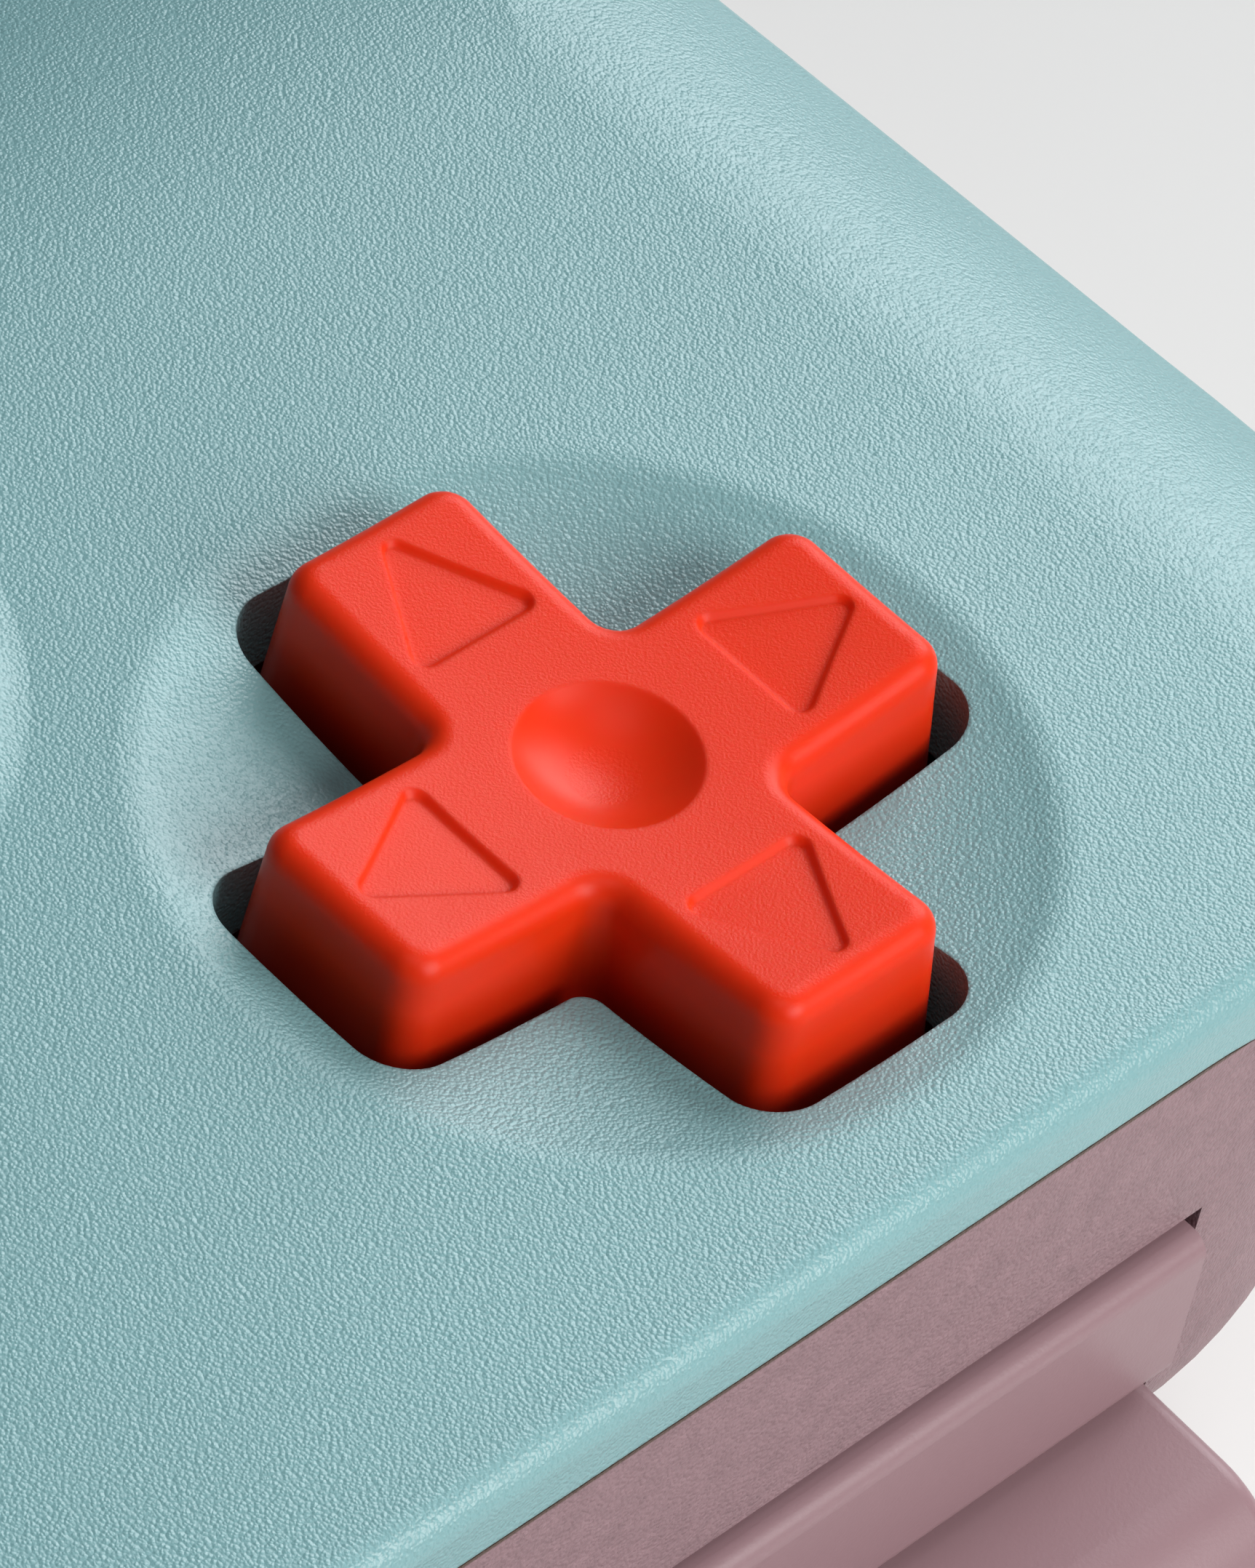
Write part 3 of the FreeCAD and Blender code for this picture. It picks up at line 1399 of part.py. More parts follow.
def build():
    nodes = {
        "front_shell": front_shell(),
        "rear_shell": rear_shell(),
        "dpad": direction_pad(),
        "dpad_pivot_ball": pad_pivot_ball(),
        "dpad_pivot_post": pad_pivot_post(),
        "dpad_membrane": pad_membrane(),
        "face_button_membrane": face_button_membrane(),
        "centre_button_membrane": centre_membrane(),
        "home_button": home_button(),
        "status_light_pipe": status_light_pipe(),
        "usb_socket": usb_socket(),
        "pairing_button": pairing_button(),
        "main_board": main_board(),
        "radio_shield": radio_shield(),
        "battery_tray": battery_tray(),
        "battery_cell": battery_cell(),
        "battery_lead": battery_lead(),
        "case_screws": case_screw_group(),
        "board_screws": board_screw_group(),
        "bracket_screws": bracket_screw_group(),
    }
    for name, (x, y) in face_button_spots().items():
        nodes["face_button_" + name] = face_button(x, y)
    for name in ("select", "start"):
        x, y = small_button_spots()[name]
        nodes[name + "_button"] = small_button(x, y)
    stick_parts = {
        "stick_cap": stick_dome_and_cap(),
        "stick_grip": stick_grip_ring(),
        "stick_shaft": stick_shaft(),
        "stick_yoke": stick_yoke(),
        "stick_cradle": stick_cradle(),
        "stick_housing": stick_housing(),
        "stick_sensors": stick_sensors(),
    }
    for part, shape in stick_parts.items():
        nodes["left_" + part] = placed_stick(shape, -1)
        nodes["right_" + part] = placed_stick(shape, 1)
    shoulder_parts = {
        "bumper": bumper(),
        "trigger": trigger(),
        "trigger_pin": trigger_pin(),
        "bumper_pin": bumper_pin(),
        "trigger_spring": trigger_spring(),
        "shoulder_bracket": shoulder_bracket(),
        "shoulder_switch": shoulder_switch(),
        "rumble_motor": rumble_motor(),
        "rumble_weight": rumble_weight(),
    }
    for part, shape in shoulder_parts.items():
        nodes["right_" + part] = shape
        nodes["left_" + part] = mirrored(shape)
    return nodes


os.makedirs("parts", exist_ok=True)
for node_name, node_shape in build().items():
    node_shape.exportStep("parts/" + node_name + ".step")
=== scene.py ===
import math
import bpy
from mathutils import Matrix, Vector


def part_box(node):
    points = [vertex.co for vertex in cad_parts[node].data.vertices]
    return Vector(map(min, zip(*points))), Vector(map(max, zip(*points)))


bl_info = {
    "name": "Wireless Game Controller",
    "version": (1, 0, 0),
    "blender": (4, 5, 0),
    "location": "View3D > Sidebar > Controller",
    "description": "Gives a game controller its moulded plastics, rubber and metal, and sets its studio",
    "category": "Object",
}

import bpy
from mathutils import Matrix, Vector

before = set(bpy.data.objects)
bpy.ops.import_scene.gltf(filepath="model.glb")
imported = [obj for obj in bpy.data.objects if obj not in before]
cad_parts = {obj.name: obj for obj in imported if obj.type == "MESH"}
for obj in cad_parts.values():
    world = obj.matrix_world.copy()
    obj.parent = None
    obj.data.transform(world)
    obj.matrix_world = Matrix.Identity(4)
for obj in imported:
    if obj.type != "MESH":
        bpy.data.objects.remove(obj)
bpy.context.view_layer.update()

MM = 0.001

# The camera of the photo: a long lens looks down on the cross pad from the far side, towards the left end
PHOTO_HEIGHT_PX = 2156
PHOTO_FOCAL_PX = 11068
SENSOR_MM = 36.0
CAMERA_AZIMUTH = math.radians(127.795)
CAMERA_ELEVATION = math.radians(47.037)
CAMERA_ROLL = math.radians(12.170)
CAMERA_DISTANCE = 258.82 * MM
CAMERA_SHIFT_RIGHT = 0.617 * MM
CAMERA_SHIFT_UP = -0.907 * MM

# Height of the cross pad's flat top
PAD_TOP_Z = 37.9 * MM

# Rim of the dishes round the pad and the face buttons
DISH_RADIUS = 15.25 * MM
DISH_RIM_WIDTH = 1.1 * MM
DISH_RIM_ANGLE = math.radians(14.6)

# Level seam between the shells, and the band along it where a brown shade is painted in as the shadow of the
# seam's gap
SEAM_Z = 33.0 * MM
PAINTED_SEAM_SHADE = (0.085, 0.05, 0.035)
SEAM_SHADE_FULL = 0.12 * MM
SEAM_SHADE_END = 0.20 * MM

# Painted shade: the pad's sides darken to this share of their colour, between two depths under its top
PAINTED_PAD_SHADE = (0.36, 0.2, 0.2)
PAD_SHADE_FROM = 1.3 * MM
PAD_SHADE_TO = 4.2 * MM

# A surface whose normal rises more steeply than this counts as facing up
FACING_UP = 0.97

SIDES = ("left_", "right_")

# Lights round the cross pad: direction from it, distance, width and power, then colour
LIGHTS = {
    "window light": ((-0.18, 0.83, 0.53), 0.26, 0.17, 0.64, (1.0, 0.99, 0.97)),
    "far light": ((-0.80, -0.25, 0.53), 1.2, 0.85, 11.5, (0.97, 0.98, 1.0)),
    "top light": ((0.12, 0.15, 0.98), 0.7, 0.4, 0.7, (0.98, 0.99, 1.0)),
}
AIR_COLOR = (0.86, 0.92, 1.0)
AIR_STRENGTH = 0.065
FLOOR_HALF_WIDTH = 1.5


def node(name):
    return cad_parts[name]


# Material building

def new_material(name):
    material = bpy.data.materials.new(name)
    material.use_nodes = True
    tree = material.node_tree
    tree.nodes.clear()
    output = tree.nodes.new("ShaderNodeOutputMaterial")
    shader = tree.nodes.new("ShaderNodeBsdfPrincipled")
    tree.links.new(shader.outputs["BSDF"], output.inputs["Surface"])
    return material, tree, shader


def object_coordinates(tree):
    return tree.nodes.new("ShaderNodeTexCoord").outputs["Object"]


def noise(tree, coordinates, size, detail=2.0, roughness=0.5):
    """Noise whose lumps are about size metres across."""
    texture = tree.nodes.new("ShaderNodeTexNoise")
    texture.inputs["Scale"].default_value = 1.0 / size
    texture.inputs["Detail"].default_value = detail
    texture.inputs["Roughness"].default_value = roughness
    tree.links.new(coordinates, texture.inputs["Vector"])
    return texture.outputs["Fac"]


def pebbles(tree, coordinates, size, smoothness=0.35):
    """Rounded cells about size metres across, like the spark-eroded grain of a mould."""
    texture = tree.nodes.new("ShaderNodeTexVoronoi")
    texture.feature = "SMOOTH_F1"
    texture.inputs["Scale"].default_value = 1.0 / size
    texture.inputs["Smoothness"].default_value = smoothness
    tree.links.new(coordinates, texture.inputs["Vector"])
    return math_node(tree, "SUBTRACT", 1.0, texture.outputs["Distance"])


def wandering(tree, coordinates, size):
    """Coordinates pushed about by noise, so that a grain of this size looks irregular."""
    texture = tree.nodes.new("ShaderNodeTexNoise")
    texture.inputs["Scale"].default_value = 0.5 / size
    tree.links.new(coordinates, texture.inputs["Vector"])
    push = tree.nodes.new("ShaderNodeVectorMath")
    push.operation = "MULTIPLY_ADD"
    tree.links.new(texture.outputs["Color"], push.inputs[0])
    push.inputs[1].default_value = (0.6 * size, 0.6 * size, 0.6 * size)
    tree.links.new(coordinates, push.inputs[2])
    return push.outputs[0]


def math_node(tree, operation, first, second):
    result = tree.nodes.new("ShaderNodeMath")
    result.operation = operation
    for socket, value in zip(result.inputs, (first, second)):
        if isinstance(value, (int, float)):
            socket.default_value = value
        else:
            tree.links.new(value, socket)
    return result.outputs[0]


def spread(tree, factor, low, high):
    """A factor of 0 to 1 mapped to low to high."""
    ramp = tree.nodes.new("ShaderNodeMapRange")
    ramp.inputs["To Min"].default_value = low
    ramp.inputs["To Max"].default_value = high
    tree.links.new(factor, ramp.inputs["Value"])
    return ramp.outputs["Result"]


def tinted(tree, factor, first, second):
    mix = tree.nodes.new("ShaderNodeMix")
    mix.data_type = "RGBA"
    mix.inputs["A"].default_value = (*first, 1.0)
    mix.inputs["B"].default_value = (*second, 1.0)
    tree.links.new(factor, mix.inputs["Factor"])
    return mix.outputs["Result"]


def bump(tree, shader, height, depth, edge=0.0, form=None):
    """Bumps of depth metres from a height of 0 to 1.

    Edges catch the light over a width of edge, and form is a broad relief in metres under the bumps.
    """
    normal = None
    if edge > 0:
        rounded = tree.nodes.new("ShaderNodeBevel")
        rounded.samples = 3
        rounded.inputs["Radius"].default_value = edge
        normal = rounded.outputs["Normal"]
    for source, distance in ((form, 1.0), (height, depth)):
        if source is None:
            continue
        relief = tree.nodes.new("ShaderNodeBump")
        relief.inputs["Distance"].default_value = distance
        tree.links.new(source, relief.inputs["Height"])
        if normal is not None:
            tree.links.new(normal, relief.inputs["Normal"])
        normal = relief.outputs["Normal"]
    tree.links.new(normal, shader.inputs["Normal"])


def flat_top_grain(tree, height, depth):
    """Relief in metres that leaves the sides of a piece smooth and grains only what faces up."""
    apart = tree.nodes.new("ShaderNodeSeparateXYZ")
    tree.links.new(tree.nodes.new("ShaderNodeNewGeometry").outputs["True Normal"], apart.inputs[0])
    facing_up = math_node(tree, "GREATER_THAN", apart.outputs["Z"], FACING_UP)
    return math_node(tree, "MULTIPLY", math_node(tree, "MULTIPLY", height, facing_up), depth)


def dish_rims(tree, coordinates):
    """Relief in metres that rolls the rims of both dishes over, from the flat face into the hollow."""
    middle = pad_top()
    apart = tree.nodes.new("ShaderNodeSeparateXYZ")
    tree.links.new(coordinates, apart.inputs[0])
    across = math_node(tree, "ADD", math_node(tree, "ABSOLUTE", apart.outputs["X"], 0.0), -abs(middle.x))
    along = math_node(tree, "ADD", apart.outputs["Y"], -middle.y)
    reach = math_node(tree, "SQRT", math_node(tree, "ADD", math_node(tree, "MULTIPLY", across, across),
                                              math_node(tree, "MULTIPLY", along, along)), 0.0)
    off_rim = math_node(tree, "ABSOLUTE", math_node(tree, "SUBTRACT", reach, DISH_RADIUS), 0.0)
    inside = math_node(tree, "MAXIMUM", math_node(tree, "SUBTRACT", DISH_RIM_WIDTH / 2, off_rim), 0.0)
    slope = math.tan(DISH_RIM_ANGLE / 2) / (DISH_RIM_WIDTH / 2)
    return math_node(tree, "MULTIPLY", math_node(tree, "MULTIPLY", inside, inside), -slope / 2)


def shade(color, amount):
    return tuple(min(1.0, channel * amount) for channel in color)


def moulded_plastic(name, color, grain=0.25 * MM, grain_depth=0.02 * MM, roughness=0.45, cells=True,
                    subsurface=0.0, radius=(1.0, 1.0, 1.0), scale=1.0 * MM, edge=0.0, gloss=0.5, rims=False,
                    top_grain=0.0, speckle=0.0):
    """Moulded plastic: a grain from the tool, faint mottling and a roughness that varies a little.

    The grain is made of pebbles or, without cells, of noise. Speckle adds a finer, stronger mottling.
    """
    material, tree, shader = new_material(name)
    coordinates = object_coordinates(tree)
    if cells:
        fine = pebbles(tree, wandering(tree, coordinates, grain), grain)
    else:
        fine = noise(tree, coordinates, grain, 3.0)
    broad = noise(tree, coordinates, 9 * MM, 3.0)
    if speckle > 0:
        specks = noise(tree, coordinates, grain * 1.6, 2.0)
        blotches = noise(tree, coordinates, 1.2 * MM, 2.0)
        broad = math_node(tree, "MULTIPLY", math_node(tree, "ADD", specks, blotches), 0.5)
    mottled = tinted(tree, broad, shade(color, 0.95 - speckle), shade(color, 1.04 + speckle))
    tree.links.new(mottled, shader.inputs["Base Color"])
    tree.links.new(spread(tree, noise(tree, coordinates, 1.5 * MM), roughness - 0.05, roughness + 0.05),
                   shader.inputs["Roughness"])
    finer = math_node(tree, "MULTIPLY", noise(tree, coordinates, grain * 0.45), 0.35)
    height = math_node(tree, "ADD", fine, finer)
    form = dish_rims(tree, coordinates) if rims else None
    if top_grain > 0:
        form = flat_top_grain(tree, noise(tree, coordinates, 0.1 * MM, 3.0), top_grain)
    bump(tree, shader, height, grain_depth, edge, form)
    shader.inputs["Specular IOR Level"].default_value = gloss
    shader.inputs["Subsurface Weight"].default_value = subsurface
    shader.inputs["Subsurface Radius"].default_value = radius
    shader.inputs["Subsurface Scale"].default_value = scale
    return material


def find_shader(material):
    return next(found for found in material.node_tree.nodes if found.type == "BSDF_PRINCIPLED")


def height_above_origin(tree):
    apart = tree.nodes.new("ShaderNodeSeparateXYZ")
    tree.links.new(object_coordinates(tree), apart.inputs[0])
    return apart.outputs["Z"]


def fading(tree, value, nothing, everything):
    """A factor that goes from 0 to 1 as value goes from nothing to everything."""
    ramp = tree.nodes.new("ShaderNodeMapRange")
    ramp.inputs["From Min"].default_value = nothing
    ramp.inputs["From Max"].default_value = everything
    tree.links.new(value, ramp.inputs["Value"])
    return ramp.outputs["Result"]


def lay_over(tree, shader, factor, color, blend="MIX"):
    """Lays a colour over the shader's own, by a factor of 0 to 1."""
    mix = tree.nodes.new("ShaderNodeMix")
    mix.data_type = "RGBA"
    mix.blend_type = blend
    mix.inputs["B"].default_value = (*color, 1.0)
    tree.links.new(factor, mix.inputs["Factor"])
    tree.links.new(shader.inputs["Base Color"].links[0].from_socket, mix.inputs["A"])
    tree.links.new(mix.outputs["Result"], shader.inputs["Base Color"])


def paint_seam_shade(material):
    """Painted shade: a brown band on the rear shell's upper edge, standing in for the shadow in the seam
    between the shells.
    """
    tree = material.node_tree
    off_seam = math_node(tree, "SUBTRACT", height_above_origin(tree), SEAM_Z)
    factor = fading(tree, math_node(tree, "ABSOLUTE", off_seam, 0.0), SEAM_SHADE_END, SEAM_SHADE_FULL)
    lay_over(tree, find_shader(material), factor, PAINTED_SEAM_SHADE)


def paint_shade_low_on_pad(material):
    """Painted shade: a deeper colour low on the cross pad's sides, standing in for the shade that falls there
    towards the slot.
    """
    tree = material.node_tree
    factor = fading(tree, height_above_origin(tree), PAD_TOP_Z - PAD_SHADE_FROM, PAD_TOP_Z - PAD_SHADE_TO)
    lay_over(tree, find_shader(material), factor, PAINTED_PAD_SHADE, "MULTIPLY")


def soft_rubber(name, color, roughness=0.75):
    material, tree, shader = new_material(name)
    coordinates = object_coordinates(tree)
    dust = noise(tree, coordinates, 3 * MM, 4.0)
    tree.links.new(tinted(tree, dust, shade(color, 0.9), shade(color, 1.15)), shader.inputs["Base Color"])
    tree.links.new(spread(tree, dust, roughness - 0.08, roughness + 0.08), shader.inputs["Roughness"])
    bump(tree, shader, noise(tree, coordinates, 0.12 * MM, 2.0), 0.01 * MM)
    shader.inputs["Sheen Weight"].default_value = 0.15
    return material


def plated_metal(name, color, roughness=0.3):
    material, tree, shader = new_material(name)
    coordinates = object_coordinates(tree)
    wear = noise(tree, coordinates, 2 * MM, 4.0)
    tree.links.new(tinted(tree, wear, shade(color, 0.88), shade(color, 1.08)), shader.inputs["Base Color"])
    tree.links.new(spread(tree, wear, roughness - 0.08, roughness + 0.12), shader.inputs["Roughness"])
    bump(tree, shader, noise(tree, coordinates, 0.2 * MM, 3.0), 0.003 * MM)
    shader.inputs["Metallic"].default_value = 1.0
    return material


def solder_mask(name, color, copper):
    """Circuit board lacquer with paler tracks and pads under it."""
    material, tree, shader = new_material(name)
    coordinates = object_coordinates(tree)
    tracks = tree.nodes.new("ShaderNodeTexBrick")
    tracks.inputs["Scale"].default_value = 1.0 / (6 * MM)
    tracks.inputs["Mortar Size"].default_value = 0.03
    tracks.inputs["Color1"].default_value = (*color, 1.0)
    tracks.inputs["Color2"].default_value = (*shade(color, 0.85), 1.0)
    tracks.inputs["Mortar"].default_value = (*copper, 1.0)
    tree.links.new(coordinates, tracks.inputs["Vector"])
    tree.links.new(tracks.outputs["Color"], shader.inputs["Base Color"])
    tree.links.new(spread(tree, noise(tree, coordinates, 2 * MM), 0.3, 0.42), shader.inputs["Roughness"])
    bump(tree, shader, tracks.outputs["Fac"], 0.02 * MM)
    return material


def light_guide(name, color):
    material, tree, shader = new_material(name)
    coordinates = object_coordinates(tree)
    cloud = noise(tree, coordinates, 0.4 * MM, 3.0)
    tree.links.new(tinted(tree, cloud, shade(color, 0.94), color), shader.inputs["Base Color"])
    tree.links.new(spread(tree, cloud, 0.2, 0.35), shader.inputs["Roughness"])
    shader.inputs["Subsurface Weight"].default_value = 0.4
    shader.inputs["Subsurface Scale"].default_value = 1.5 * MM
    return material


def dress(names, material):
    for name in names:
        slots = node(name).data.materials
        slots.clear()
        slots.append(material)


# Settings that a user would change

def color_setting(name, description, default):
    return bpy.props.FloatVectorProperty(name=name, description=description, default=default,
                                         size=3, min=0.0, max=1.0, subtype="COLOR")


def length_setting(name, description, default, low, high):
    return bpy.props.FloatProperty(name=name, description=description, default=default,
                                   min=low, max=high, unit="LENGTH", precision=5)


class ControllerFinish(bpy.types.PropertyGroup):
    face_color: color_setting("Front shell", "Colour of the front shell", (0.205, 0.405, 0.425))
    back_color: color_setting("Rear shell", "Colour of the rear shell", (0.275, 0.168, 0.187))
    pad_color: color_setting("Cross pad", "Colour of the cross pad and face buttons", (0.84, 0.036, 0.005))
    key_color: color_setting("Small buttons", "Colour of small buttons and stick caps", (0.10, 0.16, 0.17))
    shoulder_color: color_setting("Shoulder buttons", "Colour of bumpers and triggers", (0.30, 0.18, 0.20))
    rubber_color: color_setting("Rubber", "Colour of the stick grips", (0.03, 0.035, 0.04))
    grain_size: length_setting("Grain size", "Width of one pebble of the shell's grain", 0.14 * MM,
                               0.05 * MM, 2 * MM)
    grain_depth: length_setting("Grain depth", "Height of the shell's grain", 0.031 * MM, 0.0, 0.2 * MM)


class FinishOperator:
    bl_options = {"REGISTER", "UNDO"}


class CONTROLLER_OT_shells(FinishOperator, bpy.types.Operator):
    """Finish the front and rear shells"""
    bl_idname = "controller.shells"
    bl_label = "Shells"

    def execute(self, context):
        finish = context.scene.controller_finish
        dress(["front_shell"], moulded_plastic("front shell plastic", finish.face_color, finish.grain_size,
                                               finish.grain_depth, 0.31, edge=0.18 * MM, gloss=0.7,
                                               rims=True))
        back = moulded_plastic("rear shell plastic", finish.back_color, 0.16 * MM, 0.06 * MM, 0.5,
                               speckle=0.3)
        # painted shadow of the seam on the rear shell's upper edge
        paint_seam_shade(back)
        dress(["rear_shell"], back)
        return {"FINISHED"}


class CONTROLLER_OT_cross_pad(FinishOperator, bpy.types.Operator):
    """Finish the cross pad"""
    bl_idname = "controller.cross_pad"
    bl_label = "Cross pad"

    def execute(self, context):
        finish = context.scene.controller_finish
        red = moulded_plastic("cross pad plastic", finish.pad_color, 0.1 * MM, 0.002 * MM, 0.36, cells=False,
                              subsurface=0.6, radius=(1.0, 0.12, 0.06), scale=1.15 * MM, edge=0.25 * MM,
                              gloss=0.2, top_grain=0.014 * MM)
        # painted shade low on the cross pad's sides
        paint_shade_low_on_pad(red)
        dress(["dpad"], red)
        return {"FINISHED"}


class CONTROLLER_OT_buttons(FinishOperator, bpy.types.Operator):
    """Finish the four face buttons and the small buttons"""
    bl_idname = "controller.buttons"
    bl_label = "Buttons"

    def execute(self, context):
        finish = context.scene.controller_finish
        red = moulded_plastic("face button plastic", finish.pad_color, 0.1 * MM, 0.003 * MM, 0.34,
                              cells=False, subsurface=0.6, radius=(1.0, 0.14, 0.07), scale=1.3 * MM,
                              gloss=0.4)
        dress(["face_button_" + place for place in ("north", "east", "south", "west")], red)
        dark = moulded_plastic("small button plastic", finish.key_color, 0.15 * MM, 0.01 * MM, 0.5,
                               cells=False)
        dress(["select_button", "start_button", "home_button", "pairing_button"], dark)
        return {"FINISHED"}


class CONTROLLER_OT_sticks(FinishOperator, bpy.types.Operator):
    """Finish the two thumb sticks and what tilts them"""
    bl_idname = "controller.sticks"
    bl_label = "Thumb sticks"

    def execute(self, context):
        finish = context.scene.controller_finish
        cap = moulded_plastic("stick cap plastic", finish.key_color, 0.2 * MM, 0.02 * MM, 0.55)
        grip = soft_rubber("stick grip rubber", finish.rubber_color)
        inner = moulded_plastic("acetal", (0.05, 0.05, 0.055), 0.2 * MM, 0.004 * MM, 0.4, cells=False)
        can = plated_metal("stick housing steel", (0.62, 0.62, 0.64))
        for side in SIDES:
            dress([side + "stick_cap"], cap)
            dress([side + "stick_grip"], grip)
            for part in ("stick_shaft", "stick_yoke", "stick_cradle", "stick_sensors"):
                dress([side + part], inner)
            dress([side + "stick_housing"], can)
        return {"FINISHED"}


class CONTROLLER_OT_shoulders(FinishOperator, bpy.types.Operator):
    """Finish the bumpers, the triggers and their brackets"""
    bl_idname = "controller.shoulders"
    bl_label = "Bumpers and triggers"

    def execute(self, context):
        finish = context.scene.controller_finish
        plastic = moulded_plastic("shoulder button plastic", finish.shoulder_color, 0.15 * MM, 0.008 * MM,
                                  0.4, cells=False)
        bracket = moulded_plastic("bracket plastic", (0.04, 0.04, 0.045), 0.2 * MM, 0.006 * MM, 0.5,
                                  cells=False)
        steel = plated_metal("pin steel", (0.6, 0.6, 0.62), 0.25)
        board = solder_mask("switch board", (0.02, 0.12, 0.08), (0.05, 0.22, 0.13))
        for side in SIDES:
            dress([side + "bumper", side + "trigger"], plastic)
            dress([side + "shoulder_bracket"], bracket)
            dress([side + part for part in ("bumper_pin", "trigger_pin", "trigger_spring")], steel)
            dress([side + "shoulder_switch"], board)
        return {"FINISHED"}


class CONTROLLER_OT_inner_parts(FinishOperator, bpy.types.Operator):
    """Finish what the shells hold: boards, rubber mats, battery and motors"""
    bl_idname = "controller.inner_parts"
    bl_label = "Inner parts"

    def execute(self, context):
        steel = plated_metal("plated steel", (0.62, 0.62, 0.64))
        black = moulded_plastic("black plastic", (0.04, 0.04, 0.045), 0.2 * MM, 0.006 * MM, 0.5, cells=False)
        dress(["dpad_membrane", "face_button_membrane", "centre_button_membrane"],
              soft_rubber("silicone mat", (0.42, 0.43, 0.41), 0.6))
        dress(["main_board"], solder_mask("main board", (0.02, 0.12, 0.08), (0.05, 0.22, 0.13)))
        dress(["battery_cell"], moulded_plastic("battery film", (0.32, 0.35, 0.38), 0.6 * MM, 0.004 * MM,
                                                0.3, cells=False))
        dress(["battery_lead"], soft_rubber("lead sheath", (0.03, 0.03, 0.032), 0.5))
        dress(["battery_tray", "dpad_pivot_post"], black)
        dress(["status_light_pipe"], light_guide("light guide", (0.80, 0.84, 0.86)))
        dress(["usb_socket", "radio_shield", "dpad_pivot_ball"], steel)
        motor = plated_metal("motor can", (0.55, 0.55, 0.57), 0.22)
        weight = plated_metal("weight metal", (0.42, 0.36, 0.24), 0.5)
        for side in SIDES:
            dress([side + "rumble_motor"], motor)
            dress([side + "rumble_weight"], weight)
        return {"FINISHED"}


class CONTROLLER_OT_screws(FinishOperator, bpy.types.Operator):
    """Finish the screws"""
    bl_idname = "controller.screws"
    bl_label = "Screws"

    def execute(self, context):
        steel = plated_metal("screw steel", (0.5, 0.5, 0.52), 0.28)
        dress(["case_screws", "board_screws", "bracket_screws"], steel)
        return {"FINISHED"}


# Studio

def camera_axes():
    """Right, up and backward directions of the camera."""
    back = Vector((math.sin(CAMERA_AZIMUTH) * math.cos(CAMERA_ELEVATION),
                   -math.cos(CAMERA_AZIMUTH) * math.cos(CAMERA_ELEVATION),
                   math.sin(CAMERA_ELEVATION)))
    right = Vector((0, 0, 1)).cross(back).normalized()
    up = back.cross(right)
    turned_right = math.cos(CAMERA_ROLL) * right + math.sin(CAMERA_ROLL) * up
    turned_up = math.cos(CAMERA_ROLL) * up - math.sin(CAMERA_ROLL) * right
    return turned_right, turned_up, back


def pad_top():
    low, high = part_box("dpad")
    return Vector(((low.x + high.x) / 2, (low.y + high.y) / 2, PAD_TOP_Z))


def add_camera():
    right, up, back = camera_axes()
    data = bpy.data.cameras.new("photo camera")
    data.sensor_width = SENSOR_MM
    data.lens = PHOTO_FOCAL_PX * SENSOR_MM / PHOTO_HEIGHT_PX
    data.clip_start = 0.01
    data.clip_end = 20
    camera = bpy.data.objects.new("photo camera", data)
    bpy.context.scene.collection.objects.link(camera)
    place = pad_top() + CAMERA_DISTANCE * back + CAMERA_SHIFT_RIGHT * right + CAMERA_SHIFT_UP * up
    rotation = Matrix((right, up, back)).transposed().to_4x4()
    camera.matrix_world = Matrix.Translation(place) @ rotation
    bpy.context.scene.camera = camera


def add_softbox(name, target, direction, distance, width, power, color):
    """A square area light that looks at target from a direction."""
    data = bpy.data.lights.new(name, "AREA")
    data.shape = "SQUARE"
    data.size = width
    data.energy = power
    data.color = color
    light = bpy.data.objects.new(name, data)
    bpy.context.scene.collection.objects.link(light)
    away = Vector(direction).normalized()
    turn = away.to_track_quat("Z", "Y").to_matrix().to_4x4()
    light.matrix_world = Matrix.Translation(target + away * distance) @ turn


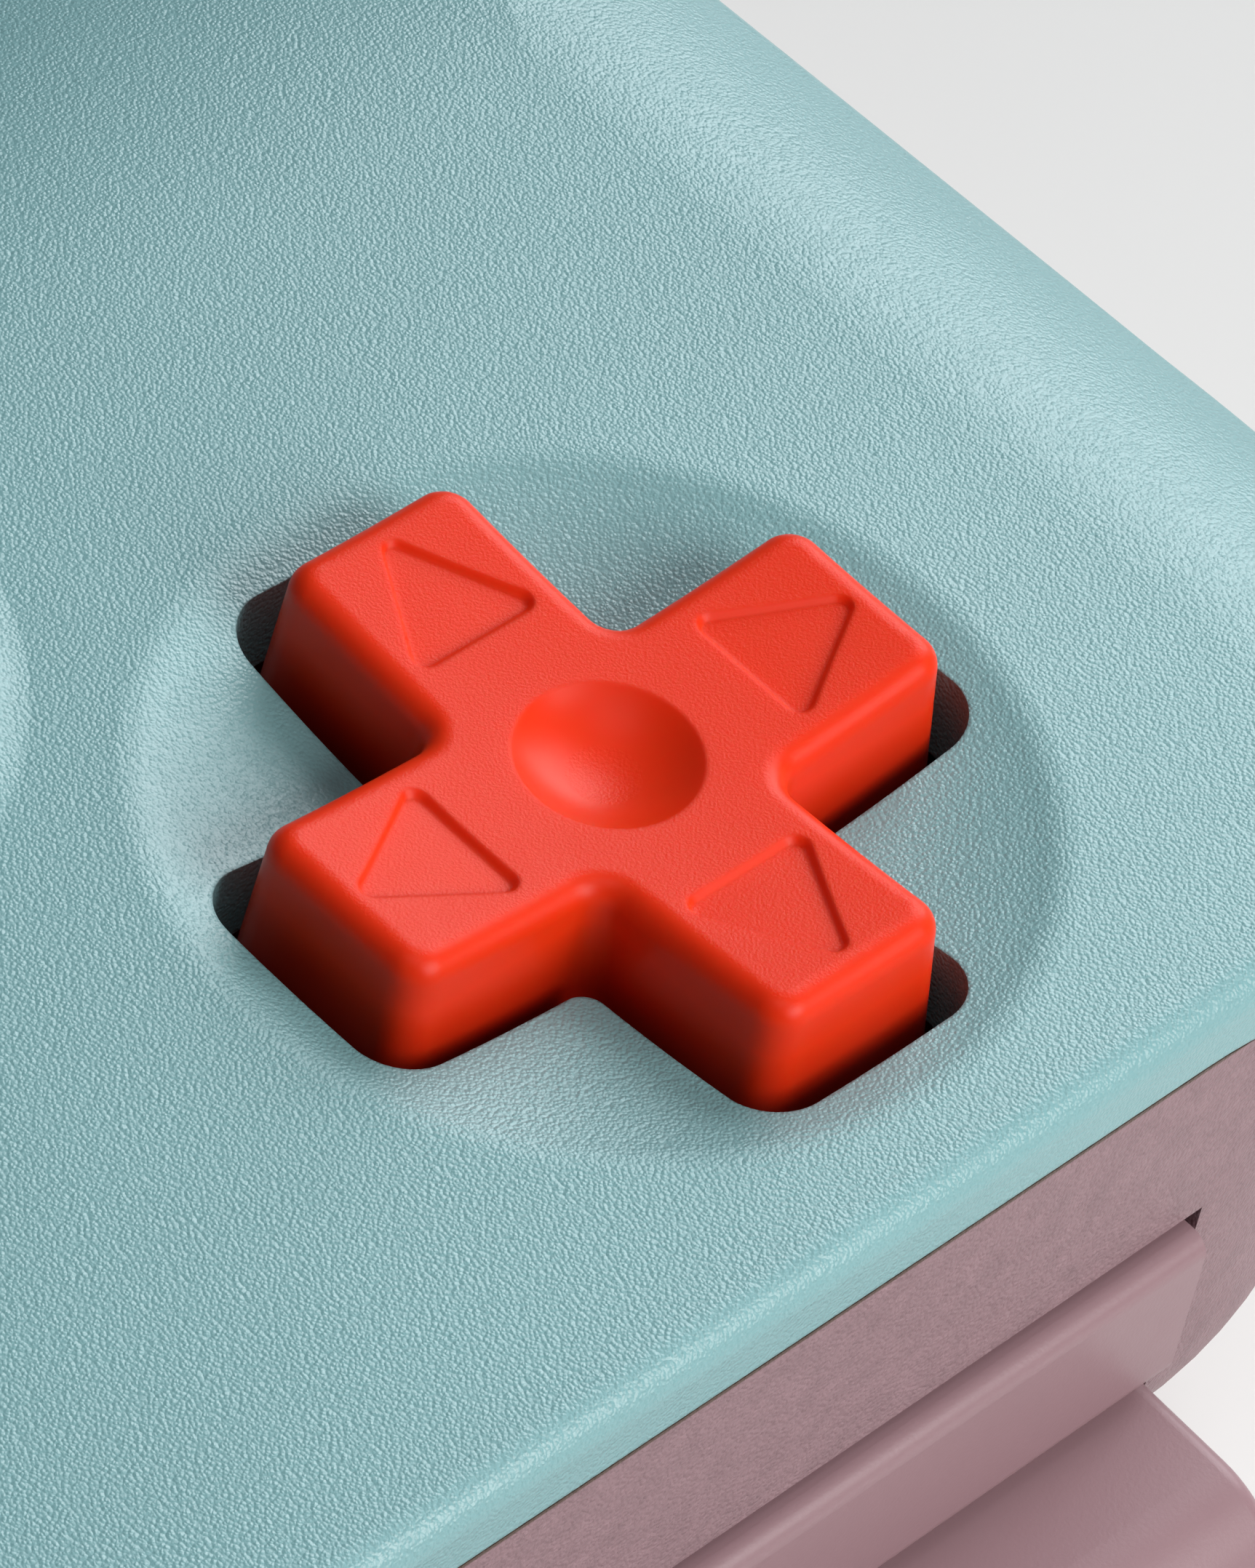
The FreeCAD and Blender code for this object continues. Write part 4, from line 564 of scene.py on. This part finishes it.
def add_floor():
    half = FLOOR_HALF_WIDTH
    corners = [(-half, -half, 0), (half, -half, 0), (half, half, 0), (-half, half, 0)]
    mesh = bpy.data.meshes.new("studio floor")
    mesh.from_pydata(corners, [], [(0, 1, 2, 3)])
    floor = bpy.data.objects.new("studio_floor", mesh)
    bpy.context.scene.collection.objects.link(floor)
    material, tree, shader = new_material("studio paper")
    coordinates = object_coordinates(tree)
    tree.links.new(tinted(tree, noise(tree, coordinates, 0.2), (0.78, 0.78, 0.77), (0.82, 0.82, 0.81)),
                   shader.inputs["Base Color"])
    shader.inputs["Roughness"].default_value = 0.8
    mesh.materials.append(material)


class CONTROLLER_OT_studio(FinishOperator, bpy.types.Operator):
    """Set the floor, the lights and the camera"""
    bl_idname = "controller.studio"
    bl_label = "Studio"

    def execute(self, context):
        scene = context.scene
        scene.view_settings.view_transform = "Standard"
        world = bpy.data.worlds.new("studio air")
        world.use_nodes = True
        background = world.node_tree.nodes["Background"]
        background.inputs["Color"].default_value = (*AIR_COLOR, 1.0)
        background.inputs["Strength"].default_value = AIR_STRENGTH
        scene.world = world
        add_floor()
        for name, (direction, distance, width, power, color) in LIGHTS.items():
            add_softbox(name, pad_top(), direction, distance, width, power, color)
        add_camera()
        return {"FINISHED"}


class CONTROLLER_PT_panel(bpy.types.Panel):
    bl_label = "Game controller"
    bl_idname = "CONTROLLER_PT_panel"
    bl_space_type = "VIEW_3D"
    bl_region_type = "UI"
    bl_category = "Controller"

    def draw(self, context):
        layout = self.layout
        finish = context.scene.controller_finish
        for setting in ControllerFinish.__annotations__:
            layout.prop(finish, setting)
        for operator in OPERATORS:
            layout.operator(operator.bl_idname)


OPERATORS = (
    CONTROLLER_OT_shells,
    CONTROLLER_OT_cross_pad,
    CONTROLLER_OT_buttons,
    CONTROLLER_OT_sticks,
    CONTROLLER_OT_shoulders,
    CONTROLLER_OT_inner_parts,
    CONTROLLER_OT_screws,
    CONTROLLER_OT_studio,
)
CLASSES = (ControllerFinish, *OPERATORS, CONTROLLER_PT_panel)


def register():
    for cls in CLASSES:
        bpy.utils.register_class(cls)
    bpy.types.Scene.controller_finish = bpy.props.PointerProperty(type=ControllerFinish)


def unregister():
    del bpy.types.Scene.controller_finish
    for cls in reversed(CLASSES):
        bpy.utils.unregister_class(cls)


def main():
    register()
    bpy.ops.controller.shells()
    bpy.ops.controller.cross_pad()
    bpy.ops.controller.buttons()
    bpy.ops.controller.sticks()
    bpy.ops.controller.shoulders()
    bpy.ops.controller.inner_parts()
    bpy.ops.controller.screws()
    bpy.ops.controller.studio()


if __name__ == "__main__":
    main()
